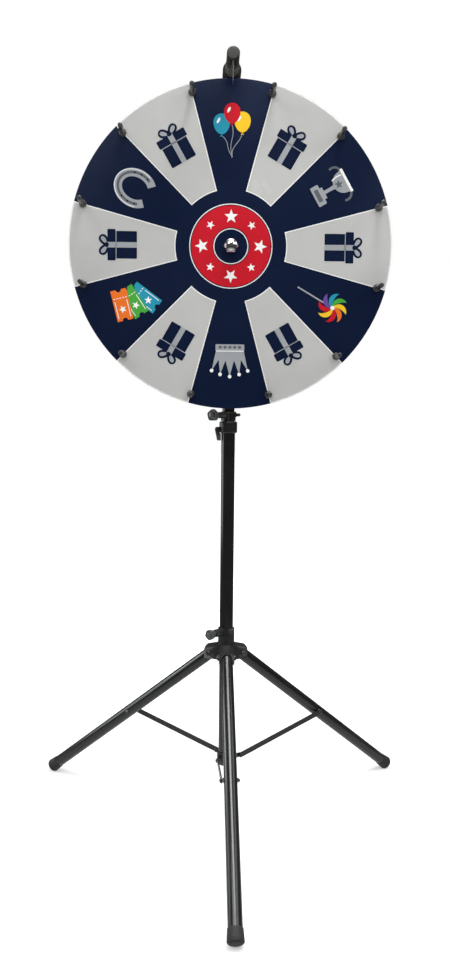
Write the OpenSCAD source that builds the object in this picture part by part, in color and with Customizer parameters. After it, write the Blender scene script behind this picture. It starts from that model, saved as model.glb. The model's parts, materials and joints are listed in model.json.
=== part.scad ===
// Prize wheel on a folding tripod stand.
// Millimetres, +Z up. The origin is on the floor, at the middle of the footprint's box.
// The wheel faces -Y. Distances called "reach" run forwards from the mast's axis.

/* [Wheel] */
// Diameter of the wheel board
wheel_d = 600; // [500:10:660]
// Thickness of the wheel board
board_t = 9; // [6:0.5:14]
// Thickness of the dark face sheet
sheet_t = 1; // [0.5:0.25:2]
// Thickness of the light segments laid on the sheet
segment_t = 0.3; // [0.2:0.1:0.6]
// Number of light segments, with as many dark ones between them
light_count = 6; // [4:1:8]
// Diameter of the dark centre of the face
centre_d = 206; // [140:2:260]
// Gap between the rim and the top of the head socket
rim_gap = 7; // [5:1:40]

/* [Pegs] */
// Distance from the rim to the peg circle
peg_inset = 17; // [12:1:30]
// Length of a peg in front of the face
peg_len = 50; // [44:1:70]
// Diameter of a peg's shaft
peg_d = 9; // [7:0.5:10]
// Diameter of a peg's domed base
peg_base_d = 14.5; // [13:0.5:20]
// Height of the straight rim under the dome
peg_rim_h = 2; // [1:0.5:4]
// Diameter of the screw that holds a peg
peg_screw_d = 4; // [3:0.5:5]
// Depth of that screw in the peg
peg_grip = 18; // [12:1:24]

/* [Bearing] */
// Diameter of the axle
axle_d = 16; // [12:1:20]
// Wall of the plain bushes
bush_wall = 3; // [2:0.5:5]
// Diameter of the hub flange
flange_d = 100; // [80:2:140]
// Thickness of the hub flange
flange_t = 5; // [3:0.5:8]
// Length of the hub's boss behind the flange
hub_boss_len = 11; // [8:1:20]
// Wall of the hub around the bushes
hub_wall = 6; // [4:0.5:10]
// Number of screws in the hub flange
flange_screw_count = 6; // [4:1:8]
// Width across the flats of the domed nut
nut_af = 24; // [22:1:32]
// Height of the domed nut's hexagon
nut_hex_h = 11; // [8:1:16]

/* [Pointer] */
// Height of the pointer arm's axis above the rim
arm_rise = 28; // [20:1:40]
// Diameter of the elbow's forward boss
elbow_d = 35; // [30:1:44]
// Diameter of the sleeve on the arm
sleeve_d = 25.8; // [23:0.2:29]
// Length of the sleeve on the arm
sleeve_len = 30; // [20:1:45]
// Diameter of the holder at the end of the arm
holder_d = 23.5; // [20:0.5:25]
// Length of the holder
holder_len = 55; // [50:1:70]
// Width of the flapper, along the arm
flapper_w = 22; // [16:1:32]
// Thickness of the flapper at its root
flapper_t = 3; // [2:0.25:4]
// How far the flapper's tip reaches below the top of a passing peg
flapper_bite = 4.5; // [2:0.5:8]

/* [Mast] */
// Diameter of the sliding tube and of the head post
inner_d = 24; // [20:1:28]
// Wall of every steel tube
tube_wall = 1.2; // [1:0.1:2]
// Length of the main tube
main_len = 689; // [600:1:800]
// Length of the sliding tube
inner_len = 521; // [420:1:580]
// Outer diameter of the flip lock's collar
collar_d = 35; // [34:0.5:40]
// Height of the flip lock's collar
collar_h = 22.5; // [20:0.5:30]
// Length of the lock's lever below its pin
lever_len = 21.5; // [18:0.5:30]
// Width of the lock's lever
lever_w = 13.6; // [10:0.2:16]
// Outer diameter of the head socket
socket_d = 29; // [28.5:0.5:34]
// Height of the head socket
socket_h = 18; // [16:1:30]

/* [Knobs] */
// Diameter of the knob on the head socket
head_knob_d = 24.5; // [18:0.5:28]
// Direction of the head knob, turned from +X
head_knob_turn = 230; // [200:1:240]
// Diameter of the knob on the leg hub
hub_knob_d = 22; // [18:0.5:26]
// Direction of the hub knob, turned from +X
hub_knob_turn = 228; // [200:1:240]
// Thickness of a knob
knob_h = 9.5; // [7:0.5:12]
// Diameter of the knobs' bolts
knob_bolt_d = 6; // [5:1:8]

/* [Tripod] */
// Turn of the tripod under the wheel
leg_turn = 1.1; // [-10:0.1:10]
// Diameter of a leg
leg_d = 24; // [20:1:28]
// Length of a leg from its pivot to the end of its foot
leg_len = 529; // [480:1:640]
// Height of the hub's underside over the floor
hub_z = 328; // [300:1:350]
// Height of the hub, from the forks' underside to the top of its collar
hub_h = 64; // [60:0.5:90]
// Outer diameter of the hub's collar
hub_d = 33; // [32:0.5:40]
// Gap between the hub's collar and the room in which a leg swings
leg_gap = 1.3; // [1:0.1:12]
// Thickness of a fork's cheek
cheek_t = 2.8; // [2:0.2:5]
// Diameter of a leg's pivot bolt
leg_bolt_d = 6; // [5:1:8]
// Outer diameter of a foot
foot_d = 28.5; // [27:0.5:34]
// Length of a foot
foot_len = 24; // [18:1:40]
// Height of the main tube's end over the floor
tube_gap = 111; // [95:1:125]

/* [Braces] */
// Distance along a leg from its pivot to the brace bolt
brace_at = 258; // [200:1:300]
// Width of a brace strip
brace_w = 9; // [7:0.5:12]
// Thickness of a brace strip
brace_t = 2.5; // [1.5:0.25:4]
// Diameter of the pins that the braces turn on
brace_pin_d = 5; // [4:0.5:6]
// Height of the spreader collar
spreader_h = 23; // [20:1:32]

/* [Hidden] */
$fn = 72;

// Clearances
fit_gap = 0.05;
slide_gap = 0.3;
side_gap = 0.3;
hole_gap = 0.1;

// Tubes
main_d = inner_d + 2 * (slide_gap + tube_wall);
main_bore = inner_d + 2 * slide_gap;
inner_bore = inner_d - 2 * tube_wall;
hub_bore = main_d + 4 * fit_gap;
main_top = tube_gap + main_len;

// Flip lock
bush_h = 5;
lock_lip = 2;
lock_top = main_top + bush_h + lock_lip;
lock_bottom = lock_top - collar_h;
lever_pin_d = 4;
cam_r = 5;
ear_t = 2.5;
lever_room = 2.6;
lever_x = main_d / 2 + lever_room + side_gap + cam_r;
lever_up = 6.5;
lever_z = lock_bottom + lever_up;
lever_tip_t = 7.5;
lever_step = 1;
lever_tip_x = main_d / 2 + 0.8;

// Head socket and the tubes that meet in it
socket_bottom = lock_top + 1;
socket_top = socket_bottom + socket_h;
joint_z = socket_bottom + socket_h * 0.4;
knob_boss_d = 12;
boss_drop = 0.5;
head_bolt_z = socket_top - knob_boss_d / 2 - boss_drop;
inner_bottom = joint_z - inner_len;
spigot_below = 60;
spigot_above = 40;
glide_h = 10;
glide_grip = 20;

// Knobs
knob_stem_d = 9;
lobe_share = 0.24;
cap_share = 0.58;
cap_rise = 2;
head_boss_r = 32;
head_stem_len = 10;
head_bolt_far = 36;
head_bolt_nut_t = 8;
head_bolt_nut_af = 8;
hub_boss_r = 34;
hub_boss_w = 15.5;
hub_stem_len = 9;
knob_grip = 7;

// Wheel, from the mast's axis forwards
wheel_r = wheel_d / 2;
wheel_z = socket_top + rim_gap + wheel_r;
block_w = 44;
block_h = 64;
block_lip = 12;
block_back = inner_d / 2 + 5;
block_front = inner_d / 2 + block_lip;
block_boss_d = axle_d + 20;
block_boss_len = 12;
block_face = block_front + block_boss_len;
block_screw_d = 5;
block_screw_z = 22;
block_screw_end = inner_d / 2 + 8;
axle_root = inner_d / 2 + 2;
spacer_t = 1.2;
bush_flange_t = 1.5;
bush_d = axle_d + 2 * bush_wall;
bush_flange_d = bush_d + 6;
hub_back = block_face + spacer_t + side_gap + bush_flange_t;
flange_back = hub_back + hub_boss_len;
board_back = flange_back + flange_t;
sheet_back = board_back + board_t;
face_reach = sheet_back + sheet_t;
hub_boss_d = bush_d + 2 * hub_wall;
hub_nose_d = bush_d + 2 * hub_wall;
bush_len = 12;
flange_screw_d = 4;
flange_screw_r = (flange_d + hub_boss_d) / 4;
screw_head_h = 2.4;
nut_back = face_reach + side_gap;
nut_corner_d = nut_af / cos(30);
nut_bore_len = nut_hex_h + 3;
nut_dome_r = nut_af * 0.46;
segment_step = 360 / light_count;
peg_step = segment_step / 2;
peg_r = wheel_r - peg_inset;
peg_tip_round = 1.5;

// Pointer
arm_z = wheel_z + wheel_r + arm_rise;
elbow_front = 25;
elbow_back = inner_d / 2 + 3;
elbow_tube_d = inner_d + 3;
elbow_tube_len = 40;
post_top = arm_z - 6;
arm_core_d = 16;
arm_core_root = inner_d / 2 + 1.5;
sleeve_front = elbow_front + sleeve_len;
holder_front = sleeve_front + holder_len;
holder_round = 2.5;
flapper_front = holder_front - 6.5;
flapper_back = flapper_front - flapper_w;
flapper_pin_d = 3;
flapper_root_r = flapper_t / 2 + 1;
flapper_pin_z = arm_z - holder_d / 2 + 2.25;
flapper_tip_z = wheel_z + peg_r + peg_d / 2 - flapper_bite;
flapper_tip_r = 0.5;
flapper_slot = flapper_root_r + side_gap;
flapper_flare = 7.5;
arm_screw_d = 5;

// Tripod
leg_names = ["front", "right", "left"];
leg_r = leg_d / 2;
leg_bore = leg_d - 2 * tube_wall;
leg_back = 7;
swing_r = norm([leg_back, leg_r]) + side_gap;
pivot_r = hub_d / 2 + leg_gap + swing_r;
pivot_up = 11;
pivot_z = hub_z + pivot_up;
plug_cap = 1.5;
plug_len = 32;
fork_gap = 0.45;
fork_slot = leg_d + 2 * fork_gap;
fork_w = fork_slot + 2 * cheek_t;
fork_reach = 10;
fork_r = pivot_r + fork_reach;
fork_root = hub_d / 8;
fork_stock = 2;
collar_lift = 1;
roof_t = 1;
roof_out = pivot_z + swing_r + roof_t;
roof_rise = 0.28;
roof_in = roof_out + roof_rise * (fork_r - fork_root);
roof_crown = 6.2;
vault_r = (pow(fork_w / 2, 2) + pow(roof_crown, 2)) / (2 * roof_crown);
leg_recess = 0.45;
mouth_up = 2;
hub_top = hub_z + hub_h;
band_z = hub_top - 11.5;
rim_h = 10.3;
band_step = 0.7;
hub_knob_z = hub_top - 5;
bolt_head_h = 3.5;
foot_r = foot_d / 2;
foot_round = 3;
foot_end = 5;
foot_flat = 0.6;

// The slope at which a foot's rounded end is cut by the floor
swing_len = leg_len - foot_round;
swing_side = foot_r - foot_round;
leg_slope = asin((pivot_z - foot_round + foot_flat) / norm([swing_len, swing_side])) - atan(swing_side / swing_len);

// Braces, on the clockwise side of each leg
spreader_d = main_d + 6;
spreader_r = spreader_d / 2 + 11.5;
spreader_pin_z = tube_gap + spreader_h - 8;
brace_in = max(foot_r, leg_r) + 0.75;
brace_out = brace_in + brace_t;
lug_in = leg_r + side_gap;
lug_t = brace_in - side_gap - lug_in;
brace_end_r = pivot_r + brace_at * cos(leg_slope);
brace_end_z = pivot_z - brace_at * sin(leg_slope);
brace_run = [brace_end_r - spreader_r, brace_end_z - spreader_pin_z];
brace_len = norm(brace_run);
brace_rise = atan2(brace_run[1], brace_run[0]);
rivet_head_d = 9;
rivet_head_h = 2.5;
brace_bolt_far = leg_r + 5;
plug_h = 3;

// Where the mast stands in the footprint's box
function leg_azimuth(i) = 270 + leg_turn + 120 * i;
function foot_dir(i) = cos(leg_slope) * [cos(leg_azimuth(i)), sin(leg_azimuth(i))];
function foot_middle(i) = (pivot_r + swing_len * cos(leg_slope)) * [cos(leg_azimuth(i)), sin(leg_azimuth(i))];
function foot_far(i, u) =
    foot_middle(i) * u + swing_side * sqrt(1 - pow(foot_dir(i) * u, 2)) + foot_round;
function stand_far(u) = max([for (i = [0:2]) foot_far(i, u)]);
mast_x = (stand_far([-1, 0]) - stand_far([1, 0])) / 2;
mast_y = (stand_far([0, -1]) - stand_far([0, 1])) / 2;

navy = "#0e1d38";
pale = "#c8c8c5";
black = "#1e1f20";
soft_black = "#2c2d2d";
rubber_black = "#151515";
bright = "#d5d7da";
steel = "#8d9094";

// Frames

// On the mast's axis, at a height
module on_mast(z = 0) {
    translate([mast_x, mast_y, z]) children();
}

// Looking along the wheel's axis: local z runs forwards from a given reach
module facing(reach, z = wheel_z) {
    translate([mast_x, mast_y - reach, z]) rotate([90, 0, 0]) children();
}

// Local z runs out from the mast in a given direction
module outward(turn, z) {
    on_mast(z) rotate(turn) rotate([0, 90, 0]) children();
}

// Local x runs out along a leg, local y to its anticlockwise side
module at_leg(i) {
    on_mast() rotate(leg_azimuth(i)) children();
}

// Local z runs down a leg from its pivot
module along_leg(i) {
    at_leg(i) translate([pivot_r, 0, pivot_z]) rotate([0, 90 + leg_slope, 0]) children();
}

// Local z runs to the clockwise side of a leg
module across() {
    rotate([90, 0, 0]) children();
}

// Shapes

module tube(d, bore, h) {
    difference() {
        cylinder(d = d, h = h);
        translate([0, 0, -1]) cylinder(d = bore, h = h + 2);
    }
}

// A turned solid whose end edge is rounded
module rounded_end(r, h, round) {
    rotate_extrude() {
        square([r - round, h]);
        square([r, h - round]);
        translate([r - round, h - round]) circle(r = round);
    }
}

module hexagon(af, h) {
    cylinder(d = af / cos(30), h = h, $fn = 6);
}

// A five-lobed knob on a stem, with a low round cap and a blind bore for its bolt
module star_knob(d, stem_len, first) {
    lobe_r = d * lobe_share;
    lobe_ring = d / 2 - lobe_r;
    difference() {
        union() {
            translate([0, 0, -stem_len]) cylinder(d = knob_stem_d, h = stem_len + knob_h / 2);
            linear_extrude(knob_h) {
                circle(r = lobe_ring);
                for (k = [0:4]) {
                    rotate(first + 72 * k) translate([lobe_ring, 0]) circle(r = lobe_r);
                }
            }
            translate([0, 0, knob_h / 2]) cylinder(d = d * cap_share, h = knob_h / 2 + cap_rise);
        }
        translate([0, 0, -stem_len - 1]) cylinder(d = knob_bolt_d + 2 * fit_gap, h = stem_len + 1 + knob_grip);
    }
}

module peg_ring(r) {
    for (k = [0:2 * light_count - 1]) {
        rotate(peg_step * (k + 0.5)) translate([r, 0, 0]) children();
    }
}

module flange_ring() {
    for (k = [0:flange_screw_count - 1]) {
        rotate(360 / flange_screw_count * k) translate([flange_screw_r, 0, 0]) children();
    }
}

// Wheel

module wheel_board() {
    color("#6b5a45")
    facing(board_back) difference() {
        cylinder(d = wheel_d, h = board_t);
        translate([0, 0, -1]) cylinder(d = hub_nose_d + 2 * fit_gap, h = board_t + 2);
        peg_ring(peg_r) translate([0, 0, -1]) cylinder(d = peg_screw_d + 2 * hole_gap, h = board_t + 2);
        flange_ring() translate([0, 0, -1]) cylinder(d = flange_screw_d + 2 * hole_gap, h = board_t);
    }
}

module face_sheet() {
    color(navy)
    facing(sheet_back) difference() {
        cylinder(d = wheel_d, h = sheet_t);
        translate([0, 0, -1]) cylinder(d = axle_d + 2 * side_gap, h = sheet_t + 2);
        peg_ring(peg_r) translate([0, 0, -1]) cylinder(d = peg_screw_d + 2 * hole_gap, h = sheet_t + 2);
    }
}

module light_segments() {
    half = segment_step / 4;
    far = wheel_r / cos(half);
    color(pale)
    facing(face_reach) linear_extrude(segment_t) difference() {
        intersection() {
            circle(d = wheel_d);
            for (k = [0:light_count - 1]) {
                rotate(segment_step * k)
                polygon([[0, 0], far * [cos(half), -sin(half)], far * [cos(half), sin(half)]]);
            }
        }
        circle(d = centre_d);
        peg_ring(peg_r) circle(d = peg_base_d + 2 * side_gap);
    }
}

module peg() {
    difference() {
        rotate_extrude() {
            square([peg_base_d / 2, peg_rim_h]);
            intersection() {
                translate([0, peg_rim_h]) circle(d = peg_base_d);
                square([peg_base_d, peg_base_d]);
            }
            square([peg_d / 2 - peg_tip_round, peg_len]);
            square([peg_d / 2, peg_len - peg_tip_round]);
            translate([peg_d / 2 - peg_tip_round, peg_len - peg_tip_round]) circle(r = peg_tip_round);
        }
        translate([0, 0, -1]) cylinder(d = peg_screw_d + 2 * hole_gap, h = peg_grip + 2);
    }
}

module pegs() {
    color(black) facing(face_reach) peg_ring(peg_r) peg();
}

// A pan-headed screw that points along local z from the seat of its head
module pan_screw(d, len) {
    translate([0, 0, -screw_head_h]) cylinder(d = 2 * d, h = screw_head_h);
    cylinder(d = d, h = len);
}

module peg_screws() {
    color(steel)
    facing(board_back) peg_ring(peg_r) pan_screw(peg_screw_d, board_t + sheet_t + peg_grip);
}

module hub_flange() {
    color(steel)
    facing(hub_back) difference() {
        union() {
            cylinder(d = hub_boss_d, h = hub_boss_len);
            translate([0, 0, hub_boss_len]) cylinder(d = flange_d, h = flange_t);
            translate([0, 0, hub_boss_len]) cylinder(d = hub_nose_d, h = flange_t + board_t);
        }
        translate([0, 0, -1]) cylinder(d = bush_d + 2 * fit_gap, h = sheet_back - hub_back + 2);
        flange_ring() translate([0, 0, hub_boss_len - 1])
            cylinder(d = flange_screw_d + 2 * hole_gap, h = flange_t + 2);
    }
}

module flange_screws() {
    color(bright)
    facing(flange_back) flange_ring() pan_screw(flange_screw_d, flange_t + board_t - 1.5);
}

module rear_bush() {
    color("#b98a45")
    facing(hub_back - bush_flange_t) difference() {
        union() {
            cylinder(d = bush_flange_d, h = bush_flange_t);
            cylinder(d = bush_d, h = bush_flange_t + bush_len);
        }
        translate([0, 0, -1]) cylinder(d = axle_d + 2 * fit_gap, h = bush_flange_t + bush_len + 2);
    }
}

module front_bush() {
    color("#b98a45")
    facing(sheet_back - bush_len) tube(bush_d, axle_d + 2 * fit_gap, bush_len);
}

// Head

module block_screw_places() {
    for (side = [-1, 1]) {
        translate([0, side * block_screw_z, 0]) children();
    }
}

module axle_block() {
    deep = block_back + block_front;
    color(black)
    difference() {
        union() {
            facing(-block_back) translate([-block_w / 2, -block_h / 2, 0]) cube([block_w, block_h, deep]);
            facing(axle_root) cylinder(d = block_boss_d, h = block_face - axle_root);
        }
        on_mast(wheel_z - block_h) cylinder(d = inner_d + 2 * fit_gap, h = 2 * block_h);
        facing(axle_root) cylinder(d = axle_d + 2 * fit_gap, h = block_face);
        facing(-block_back - 1) block_screw_places()
            cylinder(d = block_screw_d + 2 * hole_gap, h = block_back + block_screw_end + 1.5);
    }
}

module block_screws() {
    color(steel)
    facing(-block_back) block_screw_places() pan_screw(block_screw_d, block_back + block_screw_end);
}

module axle() {
    color(bright)
    facing(axle_root) cylinder(d = axle_d, h = nut_back + nut_bore_len - 1 - axle_root);
}

module axle_spacer() {
    color(steel)
    facing(block_face) tube(bush_flange_d, axle_d + 2 * fit_gap, spacer_t);
}

module cap_nut() {
    color(bright)
    facing(nut_back) difference() {
        union() {
            intersection() {
                rotate(30) hexagon(nut_af, nut_hex_h);
                translate([0, 0, -nut_af]) sphere(r = norm([nut_af / 2, nut_hex_h + nut_af]));
            }
            intersection() {
                translate([0, 0, nut_hex_h]) sphere(r = nut_dome_r);
                cylinder(d = nut_corner_d, h = nut_hex_h + nut_dome_r);
            }
        }
        translate([0, 0, -1]) cylinder(d = axle_d + 2 * fit_gap, h = nut_bore_len + 1);
    }
}

module head_bolt_hole(len) {
    outward(head_knob_turn, head_bolt_z) translate([0, 0, -len])
        cylinder(d = knob_bolt_d + 2 * hole_gap, h = 2 * len);
}

module head_post() {
    color(black)
    difference() {
        on_mast(joint_z) tube(inner_d, inner_bore, post_top - joint_z);
        head_bolt_hole(inner_d);
        facing(-inner_d) block_screw_places()
            cylinder(d = block_screw_d + 2 * hole_gap, h = 2 * inner_d);
    }
}

module post_spigot() {
    color(soft_black)
    difference() {
        on_mast(joint_z - spigot_below)
            cylinder(d = inner_bore - 2 * fit_gap, h = spigot_below + spigot_above);
        head_bolt_hole(inner_d);
    }
}

module arm_elbow() {
    color(rubber_black)
    difference() {
        union() {
            facing(-elbow_back, arm_z) cylinder(d = elbow_d, h = elbow_back + elbow_front);
            on_mast(arm_z - elbow_tube_len) cylinder(d = elbow_tube_d, h = elbow_tube_len);
        }
        on_mast(arm_z - elbow_tube_len - 1)
            cylinder(d = inner_d + 2 * fit_gap, h = post_top - arm_z + elbow_tube_len + 1);
        facing(arm_core_root, arm_z) cylinder(d = arm_core_d + 2 * fit_gap, h = elbow_front);
        facing(-elbow_back - 1, arm_z) cylinder(d = arm_screw_d + 2 * hole_gap, h = 2 * elbow_front);
    }
}

module arm_sleeve() {
    color(soft_black)
    facing(elbow_front, arm_z) tube(sleeve_d, arm_core_d + 2 * fit_gap, sleeve_len);
}

module pointer_holder() {
    slot_len = flapper_w + 2 * side_gap;
    pin_y = flapper_pin_z - arm_z;
    mouth_y = -holder_d / 2 - 1;
    color(soft_black)
    difference() {
        union() {
            facing(sleeve_front, arm_z) rounded_end(holder_d / 2, holder_len, holder_round);
            facing(arm_core_root, arm_z) cylinder(d = arm_core_d, h = sleeve_front + 1 - arm_core_root);
        }
        facing(flapper_back - side_gap, arm_z) linear_extrude(slot_len) {
            translate([0, pin_y]) circle(r = flapper_slot);
            polygon([
                [-flapper_slot, pin_y], [flapper_slot, pin_y],
                [flapper_flare, mouth_y], [-flapper_flare, mouth_y]
            ]);
        }
        facing(flapper_back - 4, flapper_pin_z)
            cylinder(d = flapper_pin_d + 2 * fit_gap, h = flapper_w + 8);
        facing(arm_core_root - 1, arm_z) cylinder(d = arm_screw_d + 2 * hole_gap, h = 17);
    }
}

module arm_screw() {
    color(steel)
    facing(-elbow_back, arm_z) pan_screw(arm_screw_d, elbow_back + arm_core_root + 15);
}

module flapper_pin() {
    color(steel)
    facing(flapper_back - 3.5, flapper_pin_z) cylinder(d = flapper_pin_d, h = flapper_w + 7);
}

module flapper() {
    drop = flapper_pin_z - flapper_tip_z;
    color("#4a4a47")
    facing(flapper_back, flapper_pin_z) difference() {
        linear_extrude(flapper_w) {
            circle(r = flapper_root_r);
            polygon([
                [-flapper_t / 2, 0], [flapper_t / 2, 0],
                [flapper_tip_r, flapper_tip_r - drop], [-flapper_tip_r, flapper_tip_r - drop]
            ]);
            translate([0, flapper_tip_r - drop]) circle(r = flapper_tip_r);
        }
        translate([0, 0, -1]) cylinder(d = flapper_pin_d + 2 * fit_gap, h = flapper_w + 2);
    }
}

// Mast

module inner_tube() {
    color(black)
    on_mast(inner_bottom) tube(inner_d, inner_bore, inner_len);
}

module tube_glide() {
    color(soft_black)
    on_mast(inner_bottom - glide_h) {
        cylinder(d = main_bore - 4 * fit_gap, h = glide_h);
        cylinder(d = inner_bore - 2 * fit_gap, h = glide_h + glide_grip);
    }
}

module head_socket() {
    color(black)
    difference() {
        union() {
            on_mast(socket_bottom) cylinder(d = socket_d, h = socket_h);
            on_mast(socket_top - 3) cylinder(d = socket_d + 2, h = 3);
            outward(head_knob_turn, head_bolt_z) cylinder(d = knob_boss_d, h = head_boss_r);
            outward(head_knob_turn + 180, head_bolt_z) cylinder(d = knob_boss_d, h = socket_d / 2 + 2);
        }
        on_mast(socket_bottom - 1) cylinder(d = inner_d + 2 * fit_gap, h = socket_h + 2);
        head_bolt_hole(head_boss_r + 1);
    }
}

module head_bolt() {
    reach = head_boss_r + side_gap + head_stem_len + knob_grip;
    color(steel)
    outward(head_knob_turn, head_bolt_z) translate([0, 0, -head_bolt_far])
        cylinder(d = knob_bolt_d, h = head_bolt_far + reach - 1);
}

module head_knob() {
    color(soft_black)
    outward(head_knob_turn, head_bolt_z) translate([0, 0, head_boss_r + side_gap + head_stem_len])
        star_knob(head_knob_d, head_stem_len, 180);
}

module head_bolt_nut() {
    color(steel)
    outward(head_knob_turn + 180, head_bolt_z) translate([0, 0, socket_d / 2 + 2]) difference() {
        hexagon(head_bolt_nut_af, head_bolt_nut_t);
        translate([0, 0, -1]) cylinder(d = knob_bolt_d + 2 * fit_gap, h = head_bolt_nut_t + 2);
    }
}

module main_tube() {
    color(black)
    on_mast(tube_gap) tube(main_d, main_bore, main_len);
}

module tube_plug() {
    color(rubber_black)
    on_mast(tube_gap) {
        translate([0, 0, -plug_h]) cylinder(d = main_d, h = plug_h);
        cylinder(d = main_bore - 2 * fit_gap, h = 5 * plug_h);
    }
}

// The lock's pin lies across the mast, on its left
module at_lever_pin() {
    on_mast(lever_z) translate([-lever_x, 0, 0]) across() children();
}

module clamp_collar() {
    chamfer = 2;
    r = collar_d / 2;
    ears_w = lever_w + 2 * (side_gap + ear_t);
    color(soft_black)
    difference() {
        union() {
            on_mast(lock_bottom) rotate_extrude()
                polygon([
                    [0, 0], [r - chamfer, 0], [r, chamfer], [r, collar_h - chamfer],
                    [r - chamfer, collar_h], [0, collar_h]
                ]);
            at_lever_pin() translate([0, 0, -ears_w / 2]) cylinder(r = cam_r, h = ears_w);
            at_lever_pin() translate([0, -cam_r, -ears_w / 2]) cube([lever_x, 2 * cam_r, ears_w]);
        }
        on_mast(lock_bottom - 1) cylinder(d = main_d + 2 * fit_gap, h = collar_h + 1 - lock_lip);
        on_mast(lock_bottom) cylinder(d = inner_d + 2 * slide_gap, h = collar_h + 1);
        at_lever_pin() translate([-2 * cam_r, -collar_h, -lever_w / 2 - side_gap])
            cube([3 * cam_r + side_gap, collar_h + cam_r + 2 * side_gap, lever_w + 2 * side_gap]);
        at_lever_pin() translate([0, 0, -ears_w]) cylinder(d = lever_pin_d + 2 * fit_gap, h = 2 * ears_w);
    }
}

module clamp_bush() {
    color(rubber_black)
    on_mast(main_top) tube(main_d, inner_d + 2 * fit_gap, bush_h);
}

module clamp_lever() {
    tip = lever_x - lever_tip_x;
    color(black)
    at_lever_pin() translate([0, 0, -lever_w / 2]) difference() {
        linear_extrude(lever_w) {
            circle(r = cam_r);
            polygon([
                [-cam_r, 0], [tip - lever_tip_t, -lever_len], [tip, -lever_len],
                [tip, -lever_up - lever_step], [cam_r - side_gap, -lever_up - lever_step], [cam_r - side_gap, 0]
            ]);
        }
        translate([0, 0, -1]) cylinder(d = lever_pin_d + 2 * fit_gap, h = lever_w + 2);
    }
}

module lever_pin() {
    ears_w = lever_w + 2 * (side_gap + ear_t);
    head_h = 1.2;
    color(steel)
    at_lever_pin() {
        translate([0, 0, -ears_w / 2]) cylinder(d = lever_pin_d, h = ears_w);
        translate([0, 0, ears_w / 2]) cylinder(d = lever_pin_d + 2, h = head_h);
        translate([0, 0, -ears_w / 2 - head_h]) cylinder(d = lever_pin_d + 2, h = head_h);
    }
}

// Tripod

// One fork from the mast outwards, under a sloping roof that is arched across, with some stock
// under it to be cut off flat
module fork(stock) {
    bottom = hub_z - stock;
    intersection() {
        across() translate([0, 0, -fork_w / 2]) linear_extrude(fork_w)
            polygon([
                [fork_root, bottom], [fork_r, bottom],
                [fork_r, roof_out + fork_stock], [fork_root, roof_in + fork_stock]
            ]);
        translate([fork_r, 0, roof_out]) rotate([0, 90 + atan(roof_rise), 0])
            translate([vault_r, 0, -2 * fork_r]) cylinder(r = vault_r, h = 3 * fork_r);
    }
}

// Room for a leg between standing out and hanging straight down, arched over the leg that stands out
module fork_room() {
    far = 2 * fork_r;
    room_r = leg_r + side_gap;
    recess_w = fork_slot + 2 * leg_recess;
    out = pivot_r + far * cos(leg_slope);
    translate([pivot_r, 0, pivot_z]) {
        rotate([0, 90 + leg_slope, 0]) cylinder(r = room_r, h = far);
        intersection() {
            sphere(r = swing_r);
            cube([4 * swing_r, recess_w, 4 * swing_r], center = true);
        }
    }
    across() translate([0, 0, -fork_slot / 2]) linear_extrude(fork_slot)
        polygon([
            [pivot_r - room_r, pivot_z], [pivot_r, pivot_z + mouth_up],
            [out, pivot_z + mouth_up - far * sin(leg_slope)],
            [out, hub_z - far], [pivot_r - room_r, hub_z - far]
        ]);
}

module leg_hub() {
    color(soft_black)
    difference() {
        union() {
            on_mast(hub_z + collar_lift) cylinder(d = hub_d, h = band_z - hub_z - collar_lift);
            on_mast(hub_z + 2 * collar_lift) cylinder(d = hub_d - 2 * band_step, h = hub_h - 2 * collar_lift);
            on_mast(hub_top - rim_h) cylinder(d = hub_d, h = rim_h);
            outward(hub_knob_turn, hub_knob_z) cylinder(d = hub_boss_w, h = hub_boss_r);
            for (i = [0:2]) {
                at_leg(i) fork(fork_stock * (i + 1));
            }
        }
        on_mast(hub_z - 4 * fork_stock) cylinder(r = 2 * fork_r, h = 4 * fork_stock);
        on_mast(hub_z - 1) cylinder(d = hub_bore, h = hub_h + hub_boss_w);
        outward(hub_knob_turn, hub_knob_z) cylinder(d = knob_bolt_d + 2 * fit_gap, h = hub_boss_r + 1);
        for (i = [0:2]) {
            at_leg(i) fork_room();
            at_leg(i) translate([pivot_r, 0, pivot_z]) across() translate([0, 0, -fork_w])
                cylinder(d = leg_bolt_d + 2 * fit_gap, h = 2 * fork_w);
        }
    }
}

module leg_bolts() {
    color(steel)
    for (i = [0:2]) {
        at_leg(i) translate([pivot_r, 0, pivot_z]) across() translate([0, 0, -fork_w / 2]) {
            cylinder(d = leg_bolt_d, h = fork_w + bolt_head_h + 2);
            translate([0, 0, -bolt_head_h]) cylinder(d = 1.7 * leg_bolt_d, h = bolt_head_h);
        }
    }
}

module leg_nuts() {
    color(steel)
    for (i = [0:2]) {
        at_leg(i) translate([pivot_r, 0, pivot_z]) across() translate([0, 0, fork_w / 2]) difference() {
            hexagon(1.7 * leg_bolt_d, bolt_head_h);
            translate([0, 0, -1]) cylinder(d = leg_bolt_d + 2 * fit_gap, h = bolt_head_h + 2);
        }
    }
}

module hub_knob() {
    color(soft_black)
    outward(hub_knob_turn, hub_knob_z) translate([0, 0, hub_boss_r + side_gap + hub_stem_len])
        star_knob(hub_knob_d, hub_stem_len, 0);
}

module hub_screw() {
    tip = main_d / 2 + side_gap;
    reach = hub_boss_r + side_gap + hub_stem_len + knob_grip;
    color(steel)
    outward(hub_knob_turn, hub_knob_z) translate([0, 0, tip])
        cylinder(d = knob_bolt_d, h = reach - 1 - tip);
}

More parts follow.
